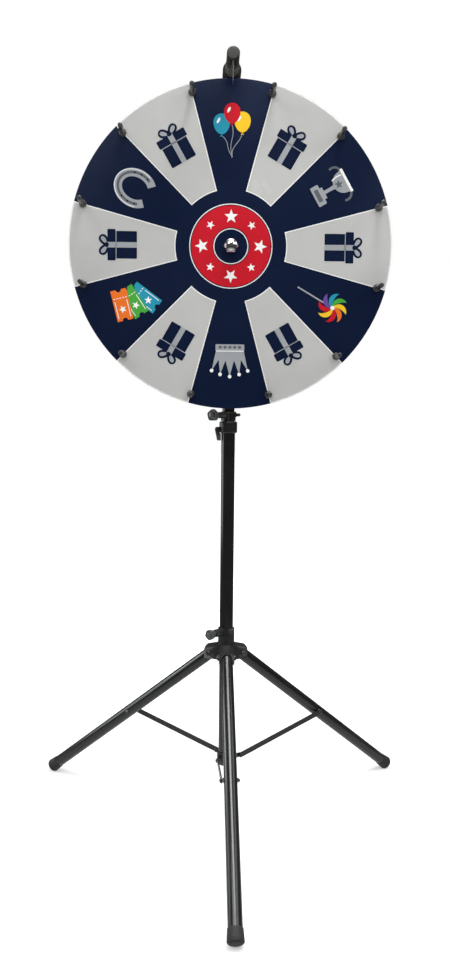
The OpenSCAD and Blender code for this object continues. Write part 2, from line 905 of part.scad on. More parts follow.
module leg_tube(i) {
    color(black)
    along_leg(i) difference() {
        translate([0, 0, plug_cap - leg_back]) tube(leg_d, leg_bore, leg_len - foot_end + leg_back - plug_cap);
        across() translate([0, 0, -leg_d]) cylinder(d = leg_bolt_d + 2 * fit_gap, h = 2 * leg_d);
        translate([0, 0, brace_at]) across() translate([0, 0, -leg_d])
            cylinder(d = brace_pin_d + 2 * hole_gap, h = 2 * leg_d);
    }
}

module leg_plug(i) {
    color(rubber_black)
    along_leg(i) difference() {
        union() {
            translate([0, 0, -leg_back]) cylinder(d = leg_d, h = plug_cap);
            translate([0, 0, -leg_back]) cylinder(d = leg_bore - 2 * fit_gap, h = plug_len);
        }
        across() translate([0, 0, -leg_d]) cylinder(d = leg_bolt_d + 2 * fit_gap, h = 2 * leg_d);
    }
}

module foot(i) {
    below = 2 * foot_d;
    color(rubber_black)
    difference() {
        along_leg(i) translate([0, 0, leg_len - foot_len]) difference() {
            rounded_end(foot_r, foot_len, foot_round);
            translate([0, 0, -1]) cylinder(d = leg_d + 2 * fit_gap, h = foot_len - foot_end + 1);
        }
        at_leg(i) translate([pivot_r + leg_len * cos(leg_slope), 0, -below / 2])
            cube([2 * below, 2 * below, below], center = true);
    }
}

module brace_bolt(i) {
    spacer_d = 1.8 * brace_pin_d;
    spacer_t = brace_in - side_gap - leg_r;
    color(steel)
    along_leg(i) translate([0, 0, brace_at]) across() {
        translate([0, 0, -brace_bolt_far]) cylinder(d = brace_pin_d, h = brace_bolt_far + leg_r + spacer_t);
        translate([0, 0, leg_r]) cylinder(d = spacer_d, h = spacer_t);
        translate([0, 0, -leg_r - spacer_t]) cylinder(d = spacer_d, h = spacer_t);
    }
}

// Local z runs to the clockwise side, local x along the brace from its pin
module along_brace(i) {
    at_leg(i) translate([spreader_r, 0, spreader_pin_z]) rotate([0, -brace_rise, 0]) across() children();
}

module brace(i) {
    color(black)
    along_brace(i) translate([0, 0, brace_in]) difference() {
        union() {
            cylinder(d = brace_w, h = brace_t);
            translate([0, -brace_w / 2, 0]) cube([brace_len, brace_w, brace_t]);
            translate([brace_len, 0, 0]) cylinder(d = brace_w, h = brace_t);
        }
        translate([0, 0, -1]) cylinder(d = brace_pin_d + 2 * fit_gap, h = brace_t + 2);
        translate([brace_len, 0, -1]) cylinder(d = brace_pin_d + 2 * fit_gap, h = brace_t + 2);
    }
}

module brace_rivet(i) {
    color(steel)
    along_brace(i) translate([brace_len, 0, brace_in]) {
        cylinder(d = brace_pin_d, h = brace_t);
        translate([0, 0, brace_t]) cylinder(d = rivet_head_d, h = rivet_head_h);
    }
}

module spreader_pin_place(i) {
    at_leg(i) translate([spreader_r, 0, spreader_pin_z]) across() children();
}

module spreader() {
    lug_r = brace_w / 2;
    color(soft_black)
    difference() {
        union() {
            on_mast(tube_gap) cylinder(d = spreader_d, h = spreader_h);
            for (i = [0:2]) {
                spreader_pin_place(i) translate([0, 0, lug_in]) {
                    cylinder(r = lug_r, h = lug_t);
                    translate([-spreader_r, -lug_r, 0]) cube([spreader_r, 2 * lug_r, lug_t]);
                }
            }
        }
        on_mast(tube_gap - 1) cylinder(d = main_d + 2 * fit_gap, h = spreader_h + 2);
        for (i = [0:2]) {
            spreader_pin_place(i) cylinder(d = brace_pin_d + 2 * fit_gap, h = brace_out);
        }
    }
}

module spreader_pins() {
    head = brace_out + side_gap;
    color(steel)
    for (i = [0:2]) {
        spreader_pin_place(i) {
            translate([0, 0, lug_in]) cylinder(d = brace_pin_d, h = head - lug_in);
            translate([0, 0, head]) cylinder(d = rivet_head_d, h = rivet_head_h);
        }
    }
}

wheel_board();
face_sheet();
light_segments();
pegs();
peg_screws();
hub_flange();
flange_screws();
rear_bush();
front_bush();
axle_block();
block_screws();
axle();
axle_spacer();
cap_nut();
head_post();
post_spigot();
arm_elbow();
arm_sleeve();
pointer_holder();
arm_screw();
flapper_pin();
flapper();
inner_tube();
tube_glide();
head_socket();
head_bolt();
head_knob();
head_bolt_nut();
main_tube();
tube_plug();
clamp_collar();
clamp_bush();
clamp_lever();
lever_pin();
leg_hub();
leg_bolts();
leg_nuts();
hub_knob();
hub_screw();
spreader();
spreader_pins();
for (i = [0:2]) {
    leg_tube(i);
    leg_plug(i);
    foot(i);
    brace_bolt(i);
    brace(i);
    brace_rivet(i);
}
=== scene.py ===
"""Looks for a prize wheel on a folding tripod stand.

Every piece is a mesh in metres, laid out where the frame has it, so each object sits at the origin.
+Z is up and the wheel faces -Y. Distances called reach run forwards from the mast's axis.
"""

import json
import math

import bmesh
import bpy
import numpy as np
from mathutils import Matrix, Vector


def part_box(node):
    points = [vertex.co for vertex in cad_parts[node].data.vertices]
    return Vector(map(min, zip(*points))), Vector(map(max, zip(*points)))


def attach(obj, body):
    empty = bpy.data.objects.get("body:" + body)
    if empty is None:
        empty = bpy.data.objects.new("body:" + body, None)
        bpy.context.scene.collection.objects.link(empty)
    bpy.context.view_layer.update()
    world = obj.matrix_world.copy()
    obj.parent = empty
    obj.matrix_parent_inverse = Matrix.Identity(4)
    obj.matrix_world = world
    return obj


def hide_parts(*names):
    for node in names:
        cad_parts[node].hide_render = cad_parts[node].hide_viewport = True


bl_info = {
    "name": "Prize Wheel on Tripod",
    "version": (1, 0, 0),
    "blender": (4, 5, 0),
    "location": "View3D > Sidebar > Prize Wheel",
    "description": "Dresses a prize wheel, its mast and its folding tripod",
    "category": "Object",
}

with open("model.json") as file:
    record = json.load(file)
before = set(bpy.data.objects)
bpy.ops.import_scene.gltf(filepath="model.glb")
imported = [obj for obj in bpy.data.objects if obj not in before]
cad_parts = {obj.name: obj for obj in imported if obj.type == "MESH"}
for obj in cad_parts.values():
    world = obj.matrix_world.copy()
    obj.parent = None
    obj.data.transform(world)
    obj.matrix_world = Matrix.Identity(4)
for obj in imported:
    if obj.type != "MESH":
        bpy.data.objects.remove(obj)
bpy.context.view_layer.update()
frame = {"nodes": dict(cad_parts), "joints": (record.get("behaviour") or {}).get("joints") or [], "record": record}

# Places taken from the frame

MM = 0.001
UP = np.array((0.0, 0.0, 1.0))
RIGHT = np.array((1.0, 0.0, 0.0))
FORWARD = np.array((0.0, -1.0, 0.0))
LEGS = ("front", "right", "left")
JOINTS = {joint["name"]: joint for joint in frame["joints"]}
BODY_OF = {node: body for body, nodes in frame["record"]["behaviour"]["bodies"].items() for node in nodes}


def joint_place(name):
    """The point that a joint turns about."""
    return np.array(JOINTS[name]["pos_m"], float)


def joint_axis(name):
    """The unit direction that a joint turns about."""
    axis = np.array(JOINTS[name]["axis"], float)
    return axis / np.linalg.norm(axis)


def mesh_points(mesh):
    """The points of a mesh, as rows of x, y and z."""
    points = np.empty(len(mesh.vertices) * 3, np.float32)
    mesh.vertices.foreach_get("co", points)
    return points.reshape(-1, 3)


def node_points(node):
    """The points of a node's own mesh."""
    return mesh_points(frame["nodes"][node].data).astype(float)


def extent(points, origin, axis):
    """How points lie round an axis: first and last distance along it, least and greatest radius."""
    away = points - origin
    along = away @ axis
    radius = np.linalg.norm(away - np.outer(along, axis), axis=1)
    return along.min(), along.max(), radius.min(), radius.max()


WHEEL = joint_place("wheel_spin")
MAST = WHEEL * (1, 1, 0)
FACE = MAST[1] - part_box("face_sheet")[0][1]
PALE_FACE = MAST[1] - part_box("light_segments")[0][1]
WHEEL_R = extent(node_points("face_sheet"), WHEEL, FORWARD)[3]
CENTRE_R = extent(node_points("light_segments"), WHEEL, FORWARD)[2]


def ring_parts(node, count, first):
    """Splits the points of a ring of like parts round the wheel's axis, by the turn that each lies at."""
    points = node_points(node)
    away = points - WHEEL
    turn = np.degrees(np.arctan2(away[:, 2], away[:, 0])) - first
    index = np.round(turn / (360 / count)).astype(int) % count
    return [points[index == k] for k in range(count)]


def forward_axis(points):
    """Where the forward axis through a part's middle starts, at the depth of the mast."""
    middle = (points.min(axis=0) + points.max(axis=0)) / 2
    return np.array((middle[0], MAST[1], middle[2]))


def leg_frame(name):
    """A leg's pivot, the direction down the leg, and the direction to its clockwise side."""
    pivot = joint_place(f"leg_{name}_fold")
    side = -joint_axis(f"leg_{name}_fold")
    foot = node_points(f"leg_tube_{name}").mean(axis=0) - pivot
    down = foot - (foot @ side) * side
    return pivot, down / np.linalg.norm(down), side


def leg_radius(name):
    """The outer radius of a leg's tube."""
    pivot, down, _ = leg_frame(name)
    return extent(node_points(f"leg_tube_{name}"), pivot, down)[3]


def near_leg(node, name):
    """The points of a three-part node that lie nearest to one leg's pivot."""
    points = node_points(node)
    pivots = np.array([leg_frame(leg)[0] for leg in LEGS])
    nearest = np.linalg.norm(points[:, None, :2] - pivots[None, :, :2], axis=2).argmin(axis=1)
    return points[nearest == LEGS.index(name)]


# Settings


def srgb(red, green, blue):
    """A colour given as 0 to 255 on screen, as the linear values that a shader takes."""
    level = np.array((red, green, blue)) / 255
    return tuple(np.where(level <= 0.04045, level / 12.92, ((level + 0.055) / 1.055) ** 2.4).tolist())


def colour(name, description, default):
    """A colour that can be set."""
    return bpy.props.FloatVectorProperty(
        name=name, description=description, default=default, subtype="COLOR", size=3, min=0, max=1)


def length(name, description, default):
    """A length that can be set, in metres."""
    return bpy.props.FloatProperty(
        name=name, description=description, default=default, unit="LENGTH", subtype="DISTANCE", precision=5)


def angle(name, description, degrees):
    """An angle that can be set."""
    return bpy.props.FloatProperty(
        name=name, description=description, default=math.radians(degrees), subtype="ANGLE")


class PrizeWheelPrint(bpy.types.PropertyGroup):
    """Colours and sizes of what is printed on the wheel's face."""

    navy: colour("Navy", "Dark sheet of the face", srgb(7, 22, 50))
    pale: colour("Pale", "Light segments", srgb(183, 183, 181))
    white: colour("White", "Fine lines and stars", srgb(236, 236, 234))
    red: colour("Red", "Ring round the nut", srgb(190, 22, 38))
    silver: colour("Silver", "Pale grey prizes", srgb(152, 156, 160))
    shade: colour("Shade", "Dark side of the pale grey prizes", srgb(92, 96, 102))
    yellow: colour("Yellow", "Warm prizes", srgb(236, 190, 40))
    green: colour("Green", "Green prizes", srgb(70, 160, 60))
    teal: colour("Teal", "Blue-green prizes", srgb(38, 142, 168))
    violet: colour("Violet", "Violet prizes", srgb(104, 70, 150))
    orange: colour("Orange", "Orange prizes", srgb(226, 110, 36))
    keyline: length("Keyline", "Width of the white line round a light segment", 0.0017)
    ring_in: length("Ring inside", "Inner radius of the red ring", 0.034)
    ring_out: length("Ring outside", "Outer radius of the red ring", 0.074)
    layer: length("Ink layer", "Thickness of one printed layer", 0.0001)


class PrizeWheelFinish(bpy.types.PropertyGroup):
    """Colours of the solid pieces, and how far their edges are rounded."""

    paint: colour("Tube paint", "Gloss black paint of the tubes", srgb(25, 25, 26))
    moulded: colour("Moulded black", "Nylon of hub, collars and socket", srgb(25, 26, 26))
    pegs: colour("Pegs", "Dark grey plastic of the pegs", srgb(60, 60, 59))
    rubber: colour("Rubber", "Rubber of the feet and plugs", srgb(28, 28, 29))
    # The holder's grey is set darker as painted shade and the sleeve's paler grey is painted light; both stand for
    # one warm grey plastic.
    pointer: colour("Pointer", "Grey plastic of the pointer's holder", srgb(41, 40, 37))
    sleeve: colour("Sleeve", "Paler grey plastic of the arm's sleeve", srgb(80, 80, 73))
    elbow: colour("Elbow", "Black rubbery plastic of the elbow", srgb(7, 7, 7))
    knob: colour("Knob", "Dark grey nylon of the star knobs", srgb(70, 72, 72))
    leaf: colour("Leaf", "Spring leaf that clicks past the pegs", srgb(84, 84, 80))
    chrome: colour("Chrome", "Bright nut and axle", srgb(222, 224, 227))
    zinc: colour("Zinc", "Screws behind the wheel", srgb(172, 175, 178))
    dark_zinc: colour("Dark zinc", "Blackened bolts of the stand", srgb(62, 63, 65))
    alloy: colour("Alloy", "Cast flange behind the board", srgb(178, 180, 182))
    bronze: colour("Bronze", "Plain bushes", srgb(186, 140, 78))
    board: colour("Board", "Back of the pressed board", srgb(122, 96, 70))
    board_edge: colour("Board edge", "Painted edge of the board", srgb(24, 25, 28))
    edge: length("Edge", "Usual rounding of a moulded edge", 0.0008)


class PrizeWheelStage(bpy.types.PropertyGroup):
    """Camera and background."""

    camera_offset: bpy.props.FloatVectorProperty(
        name="Camera offset", description="Camera's place from the foot of the mast",
        default=(-0.043, -1.716, 0.852), subtype="TRANSLATION", size=3)
    yaw: angle("Yaw", "Turn of the camera to the right", 1.26)
    pitch: angle("Pitch", "Tilt of the camera downwards", 5.75)
    roll: angle("Roll", "Roll of the camera", 0.55)
    focal_px: bpy.props.FloatProperty(
        name="Focal length", description="Focal length in pixels of the image's height", default=870)
    image_h: bpy.props.FloatProperty(
        name="Image height", description="Height of the image in pixels", default=972)
    floor_w: length("Floor", "Half the width of the floor", 12.0)
    background: colour("Background", "Colour behind the object", (1.0, 1.0, 1.0))


def print_settings():
    """The settings of the prints."""
    return bpy.context.scene.prize_wheel_print


def finish_settings():
    """The settings of the solid pieces."""
    return bpy.context.scene.prize_wheel_finish


def stage_settings():
    """The settings of the camera and the background."""
    return bpy.context.scene.prize_wheel_stage


# Shapes: a shape is a pair of points (rows of x, y, z) and faces (lists of point numbers)

ROUND_SHARE = 0.49  # most of a side that the rounding of one corner takes up


def square_to(axis):
    """Two unit directions square to an axis, right-handed with it; for the wheel they are right and up."""
    helper = UP if abs(axis[2]) < 0.9 else RIGHT
    first = np.cross(helper, axis)
    first = first / np.linalg.norm(first)
    return first, np.cross(axis, first)


def grid_faces(rows, columns, wrap_rows):
    """Four-sided faces between neighbours of a grid whose columns close on themselves."""
    down = np.arange(rows if wrap_rows else rows - 1)[:, None]
    across = np.arange(columns)[None]
    beside = (across + 1) % columns
    here = down * columns
    below = (down + 1) % rows * columns
    return np.stack((here + across, here + beside, below + beside, below + across), -1).reshape(-1, 4)


def rounded(corners, closed=False, steps=4):
    """A line through corners (x, y, round): a parabola cuts each, from round before it to round after."""
    corners = np.array(corners, float)
    line = []
    for index, (x, y, size) in enumerate(corners):
        corner = np.array((x, y))
        end = index in (0, len(corners) - 1) and not closed
        if size == 0 or end:
            line.append(corner[None])
            continue
        before = corners[index - 1, :2] - corner
        after = corners[(index + 1) % len(corners), :2] - corner
        before_l = np.linalg.norm(before)
        after_l = np.linalg.norm(after)
        cut = min(size, ROUND_SHARE * before_l, ROUND_SHARE * after_l)
        start = corner + before / before_l * cut
        stop = corner + after / after_l * cut
        part = np.linspace(0, 1, steps + 1)[:, None]
        line.append((1 - part) ** 2 * start + 2 * part * (1 - part) * corner + part ** 2 * stop)
    return np.concatenate(line)


def turned(line, origin, axis, sides=64, closed=False, radius=None):
    """Carries a line of (radius, along) round an axis: origin + along * axis + radius * spoke(turn).

    A table of radii, with a row for each point of the line and a column for each turn, may take the
    place of the line's own.
    """
    first, second = square_to(axis)
    if radius is None:
        radius = np.repeat(line[:, :1], sides, axis=1)
    turn = np.arange(radius.shape[1]) * (2 * np.pi / radius.shape[1])
    spoke = np.outer(np.cos(turn), first) + np.outer(np.sin(turn), second)
    points = origin + line[:, 1, None, None] * axis + radius[:, :, None] * spoke[None]
    return points.reshape(-1, 3), grid_faces(len(line), radius.shape[1], closed).tolist()


def hollow(inner, outer, low, high, edge):
    """The closed profile of a tube: outer wall and bore, with all four rims rounded."""
    return rounded(
        [(inner, low, edge), (outer, low, edge), (outer, high, edge), (inner, high, edge)], closed=True)


def tube(node, origin, axis, edge, sides=72):
    """A tube, collar or bored disc on an axis, at the node's own size, with rounded rims."""
    low, high, inner, outer = extent(node_points(node), origin, axis)
    return turned(hollow(inner, outer, low, high, edge), origin, axis, sides, closed=True)


def side_radius(inner, turn, sides):
    """Distance to a polygon's side: inner radius over the cosine of the turn from that side's middle."""
    part = 2 * np.pi / sides
    return inner / np.cos((turn + part / 2) % part - part / 2)


def hexagonal(line, flats, sides=96, corner_up=False):
    """Radii for a line cut to a hexagon: the lesser of the line's radius and the hexagon's, at each turn."""
    turn = np.arange(sides) * (2 * np.pi / sides) + (np.pi / 6 if corner_up else 0)
    return np.minimum(line[:, :1], side_radius(flats / 2, turn, 6)[None])


def joined(shapes):
    """Several shapes as one: points end to end, with each face's numbers moved on past the points before."""
    points = []
    faces = []
    passed = 0
    for part_points, part_faces in shapes:
        points.append(part_points)
        faces.extend([number + passed for number in face] for face in part_faces)
        passed += len(part_points)
    return np.concatenate(points), faces


def prism(outline, low, high):
    """A flat outline (x, y) on the wheel's face made solid between two reaches, closed by its two ends."""
    count = len(outline)
    flat = np.stack((WHEEL[0] + outline[:, 0], np.zeros(count), WHEEL[2] + outline[:, 1]), -1)
    back = flat + (0, MAST[1] - low, 0)
    front = flat + (0, MAST[1] - high, 0)
    here = np.arange(count)
    beside = np.roll(here, -1)
    walls = np.stack((here, beside, beside + count, here + count), -1).tolist()
    ends = [here[::-1].tolist(), (here + count).tolist()]
    return np.concatenate((back, front)), ends + walls


# Pieces

WELD = 1e-6
FLAT = math.radians(0.5)
BEVELLED = math.radians(30)
CREASED = math.radians(40)


def welded(mesh, flatten=None):
    """Merges a mesh's doubled points, then joins its flat faces if asked, or else turns faces outwards."""
    work = bmesh.new()
    work.from_mesh(mesh)
    bmesh.ops.remove_doubles(work, verts=work.verts, dist=WELD)
    if flatten is not None:
        bmesh.ops.dissolve_limit(work, angle_limit=flatten, verts=work.verts, edges=work.edges)
    else:
        bmesh.ops.recalc_face_normals(work, faces=work.faces)
    work.to_mesh(mesh)
    work.free()


def put(name, mesh, materials, body, replaced):
    """Adds a mesh as a piece of the object that rides on a body and stands for some nodes."""
    thing = bpy.data.objects.new(name, mesh)
    bpy.context.scene.collection.objects.link(thing)
    for material in materials:
        mesh.materials.append(material)
    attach(thing, body)
    if replaced:
        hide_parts(*replaced)
    return thing


def shaped(node, shapes, material):
    """A node's new mesh, made of worked-out shapes, in the node's place."""
    points, faces = joined(shapes)
    mesh = bpy.data.meshes.new(f"{node}_shape")
    mesh.from_pydata(points.tolist(), [], faces)
    welded(mesh)
    mesh.shade_smooth()
    mesh.set_sharp_from_angle(angle=CREASED)
    put(f"{node}_shape", mesh, [material], BODY_OF[node], [node])


def softened(node, material, width, segments=3):
    """A copy of a node's own mesh, welded, with a bevel along every sharp edge."""
    mesh = frame["nodes"][node].data.copy()
    mesh.name = f"{node}_soft"
    mesh.materials.clear()
    if "custom_normal" in mesh.attributes:
        mesh.attributes.remove(mesh.attributes["custom_normal"])
    welded(mesh, flatten=FLAT)
    mesh.shade_smooth()
    thing = put(f"{node}_soft", mesh, [material], BODY_OF[node], [node])
    bevel = thing.modifiers.new("Soft edges", "BEVEL")
    bevel.width = width
    bevel.segments = segments
    bevel.limit_method = "ANGLE"
    bevel.angle_limit = BEVELLED
    bevel.harden_normals = True
    return thing


def broadened(mesh, place, across, share):
    """Widens a strip: each point's distance from its middle line grows by a share."""
    points = mesh_points(mesh)
    points += np.outer((points - place) @ across * share, across)
    mesh.vertices.foreach_set("co", points.ravel())


def repainted(material, *nodes):
    """Gives nodes whose shape is right a better finish."""
    for node in nodes:
        mesh = frame["nodes"][node].data
        mesh.materials.clear()
        mesh.materials.append(material)


# Finishes

DUST = (0.32, 0.31, 0.29, 1.0)
WHITE = (1.0, 1.0, 1.0, 1.0)
RELIEF = 0.0002  # depth of grain and fibres
RIM_PAINT = 0.0026  # how far the edge's paint runs in over the board's back


class Tree:
    """Fills one node tree."""

    def __init__(self, tree):
        self.tree = tree

    def fill(self, made, values):
        """Gives a node its inputs: a link where the value is a socket, and otherwise the value itself."""
        for key, value in values.items():
            if isinstance(value, bpy.types.NodeSocket):
                self.tree.links.new(value, made.inputs[key])
            else:
                made.inputs[key].default_value = value

    def add(self, kind, values=None, **settings):
        """A new node with its settings and inputs."""
        made = self.tree.nodes.new(kind)
        for key, value in settings.items():
            setattr(made, key, value)
        self.fill(made, values or {})
        return made

    def math(self, operation, first, second=0.0, clamp=False):
        """A sum, product or other operation on one or two values."""
        made = self.add("ShaderNodeMath", {0: first, 1: second}, operation=operation, use_clamp=clamp)
        return made.outputs[0]

    def spread(self, value, low, high, to_low=0.0, to_high=1.0):
        """Spreads a value's range from low to high over another range, and holds it there."""
        made = self.add("ShaderNodeMapRange", {
            "Value": value, "From Min": low, "From Max": high, "To Min": to_low, "To Max": to_high})
        return made.outputs["Result"]

    def mix(self, factor, first, second):
        """A blend from one colour to another."""
        made = self.add("ShaderNodeMix", {0: factor, 6: first, 7: second}, data_type="RGBA")
        return made.outputs[2]

    def noise(self, place, scale, detail=3.0, roughness=0.5):
        """Soft noise, about 0.5 on average."""
        made = self.add("ShaderNodeTexNoise", {
            "Vector": place, "Scale": scale, "Detail": detail, "Roughness": roughness})
        return made.outputs["Fac"]

    def moved(self, place, **shift):
        """A place that is shifted, or stretched along its axes."""
        values = {key.title(): value for key, value in shift.items()}
        return self.add("ShaderNodeMapping", {"Vector": place, **values}).outputs[0]

    def distance(self, place):
        """How far a place lies from the origin."""
        return self.add("ShaderNodeVectorMath", {0: place}, operation="LENGTH").outputs["Value"]

    def bump(self, height, strength):
        """A normal that shows a height as fine relief."""
        made = self.add("ShaderNodeBump", {"Height": height, "Strength": strength, "Distance": RELIEF})
        return made.outputs["Normal"]

    def reflected(self, path):
        """One for rays that come by way of a mirror or a glass, and nought for all others."""
        return self.math("MAXIMUM", path["Is Glossy Ray"], path["Is Transmission Ray"])


def surface_group():
    """Shared surface effects: broad mottle, fine grain, hairline scuffs, paler edges and settled dust. The paler
    edges are rubbed wear, except on the knobs, where they are a painted highlight.
    """
    known = bpy.data.node_groups.get("Worn surface")
    if known:
        return known
    group = bpy.data.node_groups.new("Worn surface", "ShaderNodeTree")
    for name, value in (("Mottle Scale", 30.0), ("Grain Scale", 900.0), ("Scuff Scale", 25.0)):
        socket = group.interface.new_socket(name=name, in_out="INPUT", socket_type="NodeSocketFloat")
        socket.default_value = value
    for name in ("Mottle", "Grain", "Scuff", "Edge", "Dust"):
        group.interface.new_socket(name=name, in_out="OUTPUT", socket_type="NodeSocketFloat")
    tree = Tree(group)
    given = tree.add("NodeGroupInput").outputs
    place = tree.add("ShaderNodeTexCoord").outputs["Object"]
    shape = tree.add("ShaderNodeNewGeometry").outputs
    mottle = tree.noise(place, given["Mottle Scale"], 4.0)
    grain = tree.noise(place, given["Grain Scale"], 2.0)
    line = tree.noise(place, given["Scuff Scale"], 6.0, 0.6)
    off_line = tree.math("ABSOLUTE", tree.math("SUBTRACT", line, 0.5))
    patches = tree.spread(tree.noise(place, 9.0, 2.0), 0.5, 0.62)
    scuff = tree.math("MULTIPLY", tree.spread(off_line, 0.012, 0.0), patches)
    sharp = tree.spread(shape["Pointiness"], 0.515, 0.56)
    edge = tree.math("MULTIPLY", sharp, tree.spread(mottle, 0.38, 0.6))
    upward = tree.add("ShaderNodeSeparateXYZ", {0: shape["Normal"]}).outputs["Z"]
    dust = tree.math("MULTIPLY", tree.spread(upward, 0.3, 0.95), tree.spread(mottle, 0.35, 0.7))
    tree.add("NodeGroupOutput", {
        "Mottle": mottle, "Grain": grain, "Scuff": scuff, "Edge": edge, "Dust": dust})
    return group


def material_tree(name):
    """A new material, its tree and its shader."""
    material = bpy.data.materials.new(name)
    material.use_nodes = True
    return material, Tree(material.node_tree), material.node_tree.nodes["Principled BSDF"]


def shades(base, share):
    """A colour, darker or lighter by a share, with its alpha."""
    return (*(min(1.0, part * share) for part in base), 1.0)


def finish(name, base, rough, scales, mottle=0.8, edge=None, dust=0.0, bump=0.1, scuff=0.1, **constants):
    """A finish: base colour with mottle, paler edges and dust; roughness with scuffs; grain as fine relief. The
    paler edges are rubbed wear, except on the knobs, where they are a painted highlight.

    rough is the least and greatest roughness, scales are those of mottle, grain and scuffs per metre.
    """
    known = bpy.data.materials.get(name)
    if known:
        return known
    material, tree, shader = material_tree(name)
    worn = tree.add("ShaderNodeGroup", node_tree=surface_group())
    tree.fill(worn, dict(zip(("Mottle Scale", "Grain Scale", "Scuff Scale"), scales)))
    effect = worn.outputs
    tone = tree.mix(tree.spread(effect["Mottle"], 0.3, 0.7), shades(base, mottle), shades(base, 2 - mottle))
    if edge:
        tone = tree.mix(effect["Edge"], tone, (*edge, 1.0))
    if dust:
        tone = tree.mix(tree.math("MULTIPLY", effect["Dust"], dust), tone, DUST)
    gloss = tree.spread(effect["Mottle"], 0.25, 0.75, *rough)
    worn_gloss = tree.math("ADD", gloss, tree.math("MULTIPLY", effect["Scuff"], scuff), clamp=True)
    tree.fill(shader, {
        "Base Color": tone, "Roughness": worn_gloss, "Normal": tree.bump(effect["Grain"], bump)})
    for key, value in constants.items():
        shader.inputs[key.replace("_", " ").title().replace("Ior", "IOR")].default_value = value
    return material


def tube_paint():
    """Gloss black stove paint with faint orange peel and hairline scuffs."""
    return finish(
        "Tube paint", finish_settings().paint, (0.17, 0.23), (14.0, 420.0, 22.0), mottle=0.85,
        dust=0.02, bump=0.02, scuff=0.08)


def moulded_black():
    """Black moulded nylon with a fine eroded texture and edges worn a little paler."""
    return finish(
        "Moulded black", finish_settings().moulded, (0.34, 0.46), (40.0, 1500.0, 30.0), mottle=0.8,
        edge=srgb(96, 97, 96), dust=0.03, bump=0.12, scuff=0.1)


def pointer_plastic():
    """Warm grey moulded plastic, satin, with pale rubbed edges; its base is set darker than the sleeve's, as
    painted shade on the holder.
    """
    return finish(
        "Pointer plastic", finish_settings().pointer, (0.42, 0.55), (60.0, 1300.0, 50.0), mottle=0.86,
        edge=srgb(112, 110, 105), dust=0.05, bump=0.1, scuff=0.1)


def sleeve_plastic():
    """The same warm grey plastic as the holder's, set paler as painted light on the sleeve."""
    return finish(
        "Sleeve plastic", finish_settings().sleeve, (0.36, 0.48), (60.0, 1300.0, 50.0), mottle=0.86,
        edge=srgb(124, 124, 116), dust=0.03, bump=0.1, scuff=0.1)


def elbow_plastic():
    """Black rubbery plastic with a faint bloom."""
    return finish(
        "Elbow plastic", finish_settings().elbow, (0.5, 0.62), (50.0, 1400.0, 40.0), mottle=0.8,
        edge=srgb(20, 20, 20), bump=0.12, scuff=0.08, specular_ior_level=0.22)


def knob_nylon():
    """Dark grey nylon, polished by hands, with a painted highlight along its edges."""
    # The pale edge colour is a painted highlight: it stands for light caught on the rims of the lobes and the
    # cap's edge.
    return finish(
        "Knob nylon", finish_settings().knob, (0.24, 0.34), (60.0, 1500.0, 60.0), mottle=0.85,
        edge=srgb(150, 152, 151), dust=0.04, bump=0.06, scuff=0.1)


def peg_plastic():
    """Satin grey plastic, faintly wavy from the mould."""
    return finish(
        "Peg plastic", finish_settings().pegs, (0.22, 0.32), (60.0, 700.0, 60.0), mottle=0.85,
        edge=srgb(92, 92, 91), bump=0.05, scuff=0.2)


def foot_rubber():
    """Matt rubber with a little dust and fine pores."""
    return finish(
        "Foot rubber", finish_settings().rubber, (0.62, 0.82), (55.0, 1800.0, 40.0), mottle=0.75,
        edge=srgb(72, 72, 72), dust=0.05, bump=0.25, scuff=0.05)


def leaf_plastic():
    """Grey spring plastic with rub marks."""
    return finish(
        "Leaf plastic", finish_settings().leaf, (0.35, 0.5), (60.0, 900.0, 90.0), mottle=0.8,
        edge=srgb(120, 120, 116), bump=0.08, scuff=0.2)


def chrome():
    """Polished chrome with faint smears."""
    return finish(
        "Chrome", finish_settings().chrome, (0.15, 0.24), (90.0, 1200.0, 120.0), mottle=0.94,
        bump=0.015, scuff=0.12, metallic=1.0)


def zinc():
    """Zinc-plated steel with a cloudy passivated film."""
    return finish(
        "Zinc", finish_settings().zinc, (0.28, 0.45), (160.0, 1500.0, 90.0), mottle=0.82,
        bump=0.08, metallic=1.0)


def dark_zinc():
    """Blackened steel, brighter where tools and washers have rubbed it."""
    return finish(
        "Dark zinc", finish_settings().dark_zinc, (0.28, 0.42), (150.0, 1500.0, 90.0), mottle=0.75,
        edge=srgb(140, 140, 140), bump=0.06, metallic=0.75)


def cast_alloy():
    """Cast aluminium with a sandy skin."""
    return finish(
        "Cast alloy", finish_settings().alloy, (0.42, 0.58), (70.0, 1100.0, 60.0), mottle=0.85,
        edge=srgb(214, 215, 216), bump=0.3, metallic=1.0)


def bush_bronze():
    """Sintered bronze, slightly oily."""
    return finish(
        "Bush bronze", finish_settings().bronze, (0.3, 0.45), (120.0, 1800.0, 80.0), mottle=0.8,
        bump=0.12, metallic=1.0)


def sheet_vinyl(name, base, mottle=0.93):
    """Printed satin vinyl: an even colour with a little mottle and fine orange peel."""
    return finish(
        name, base, (0.2, 0.28), (7.0, 650.0, 14.0), mottle=mottle,
        bump=0.02, scuff=0.0, specular_ior_level=0.35)


def ink(name):
    """Printed ink in one of the settings' colours."""
    return sheet_vinyl(f"Ink {name}", getattr(print_settings(), name))


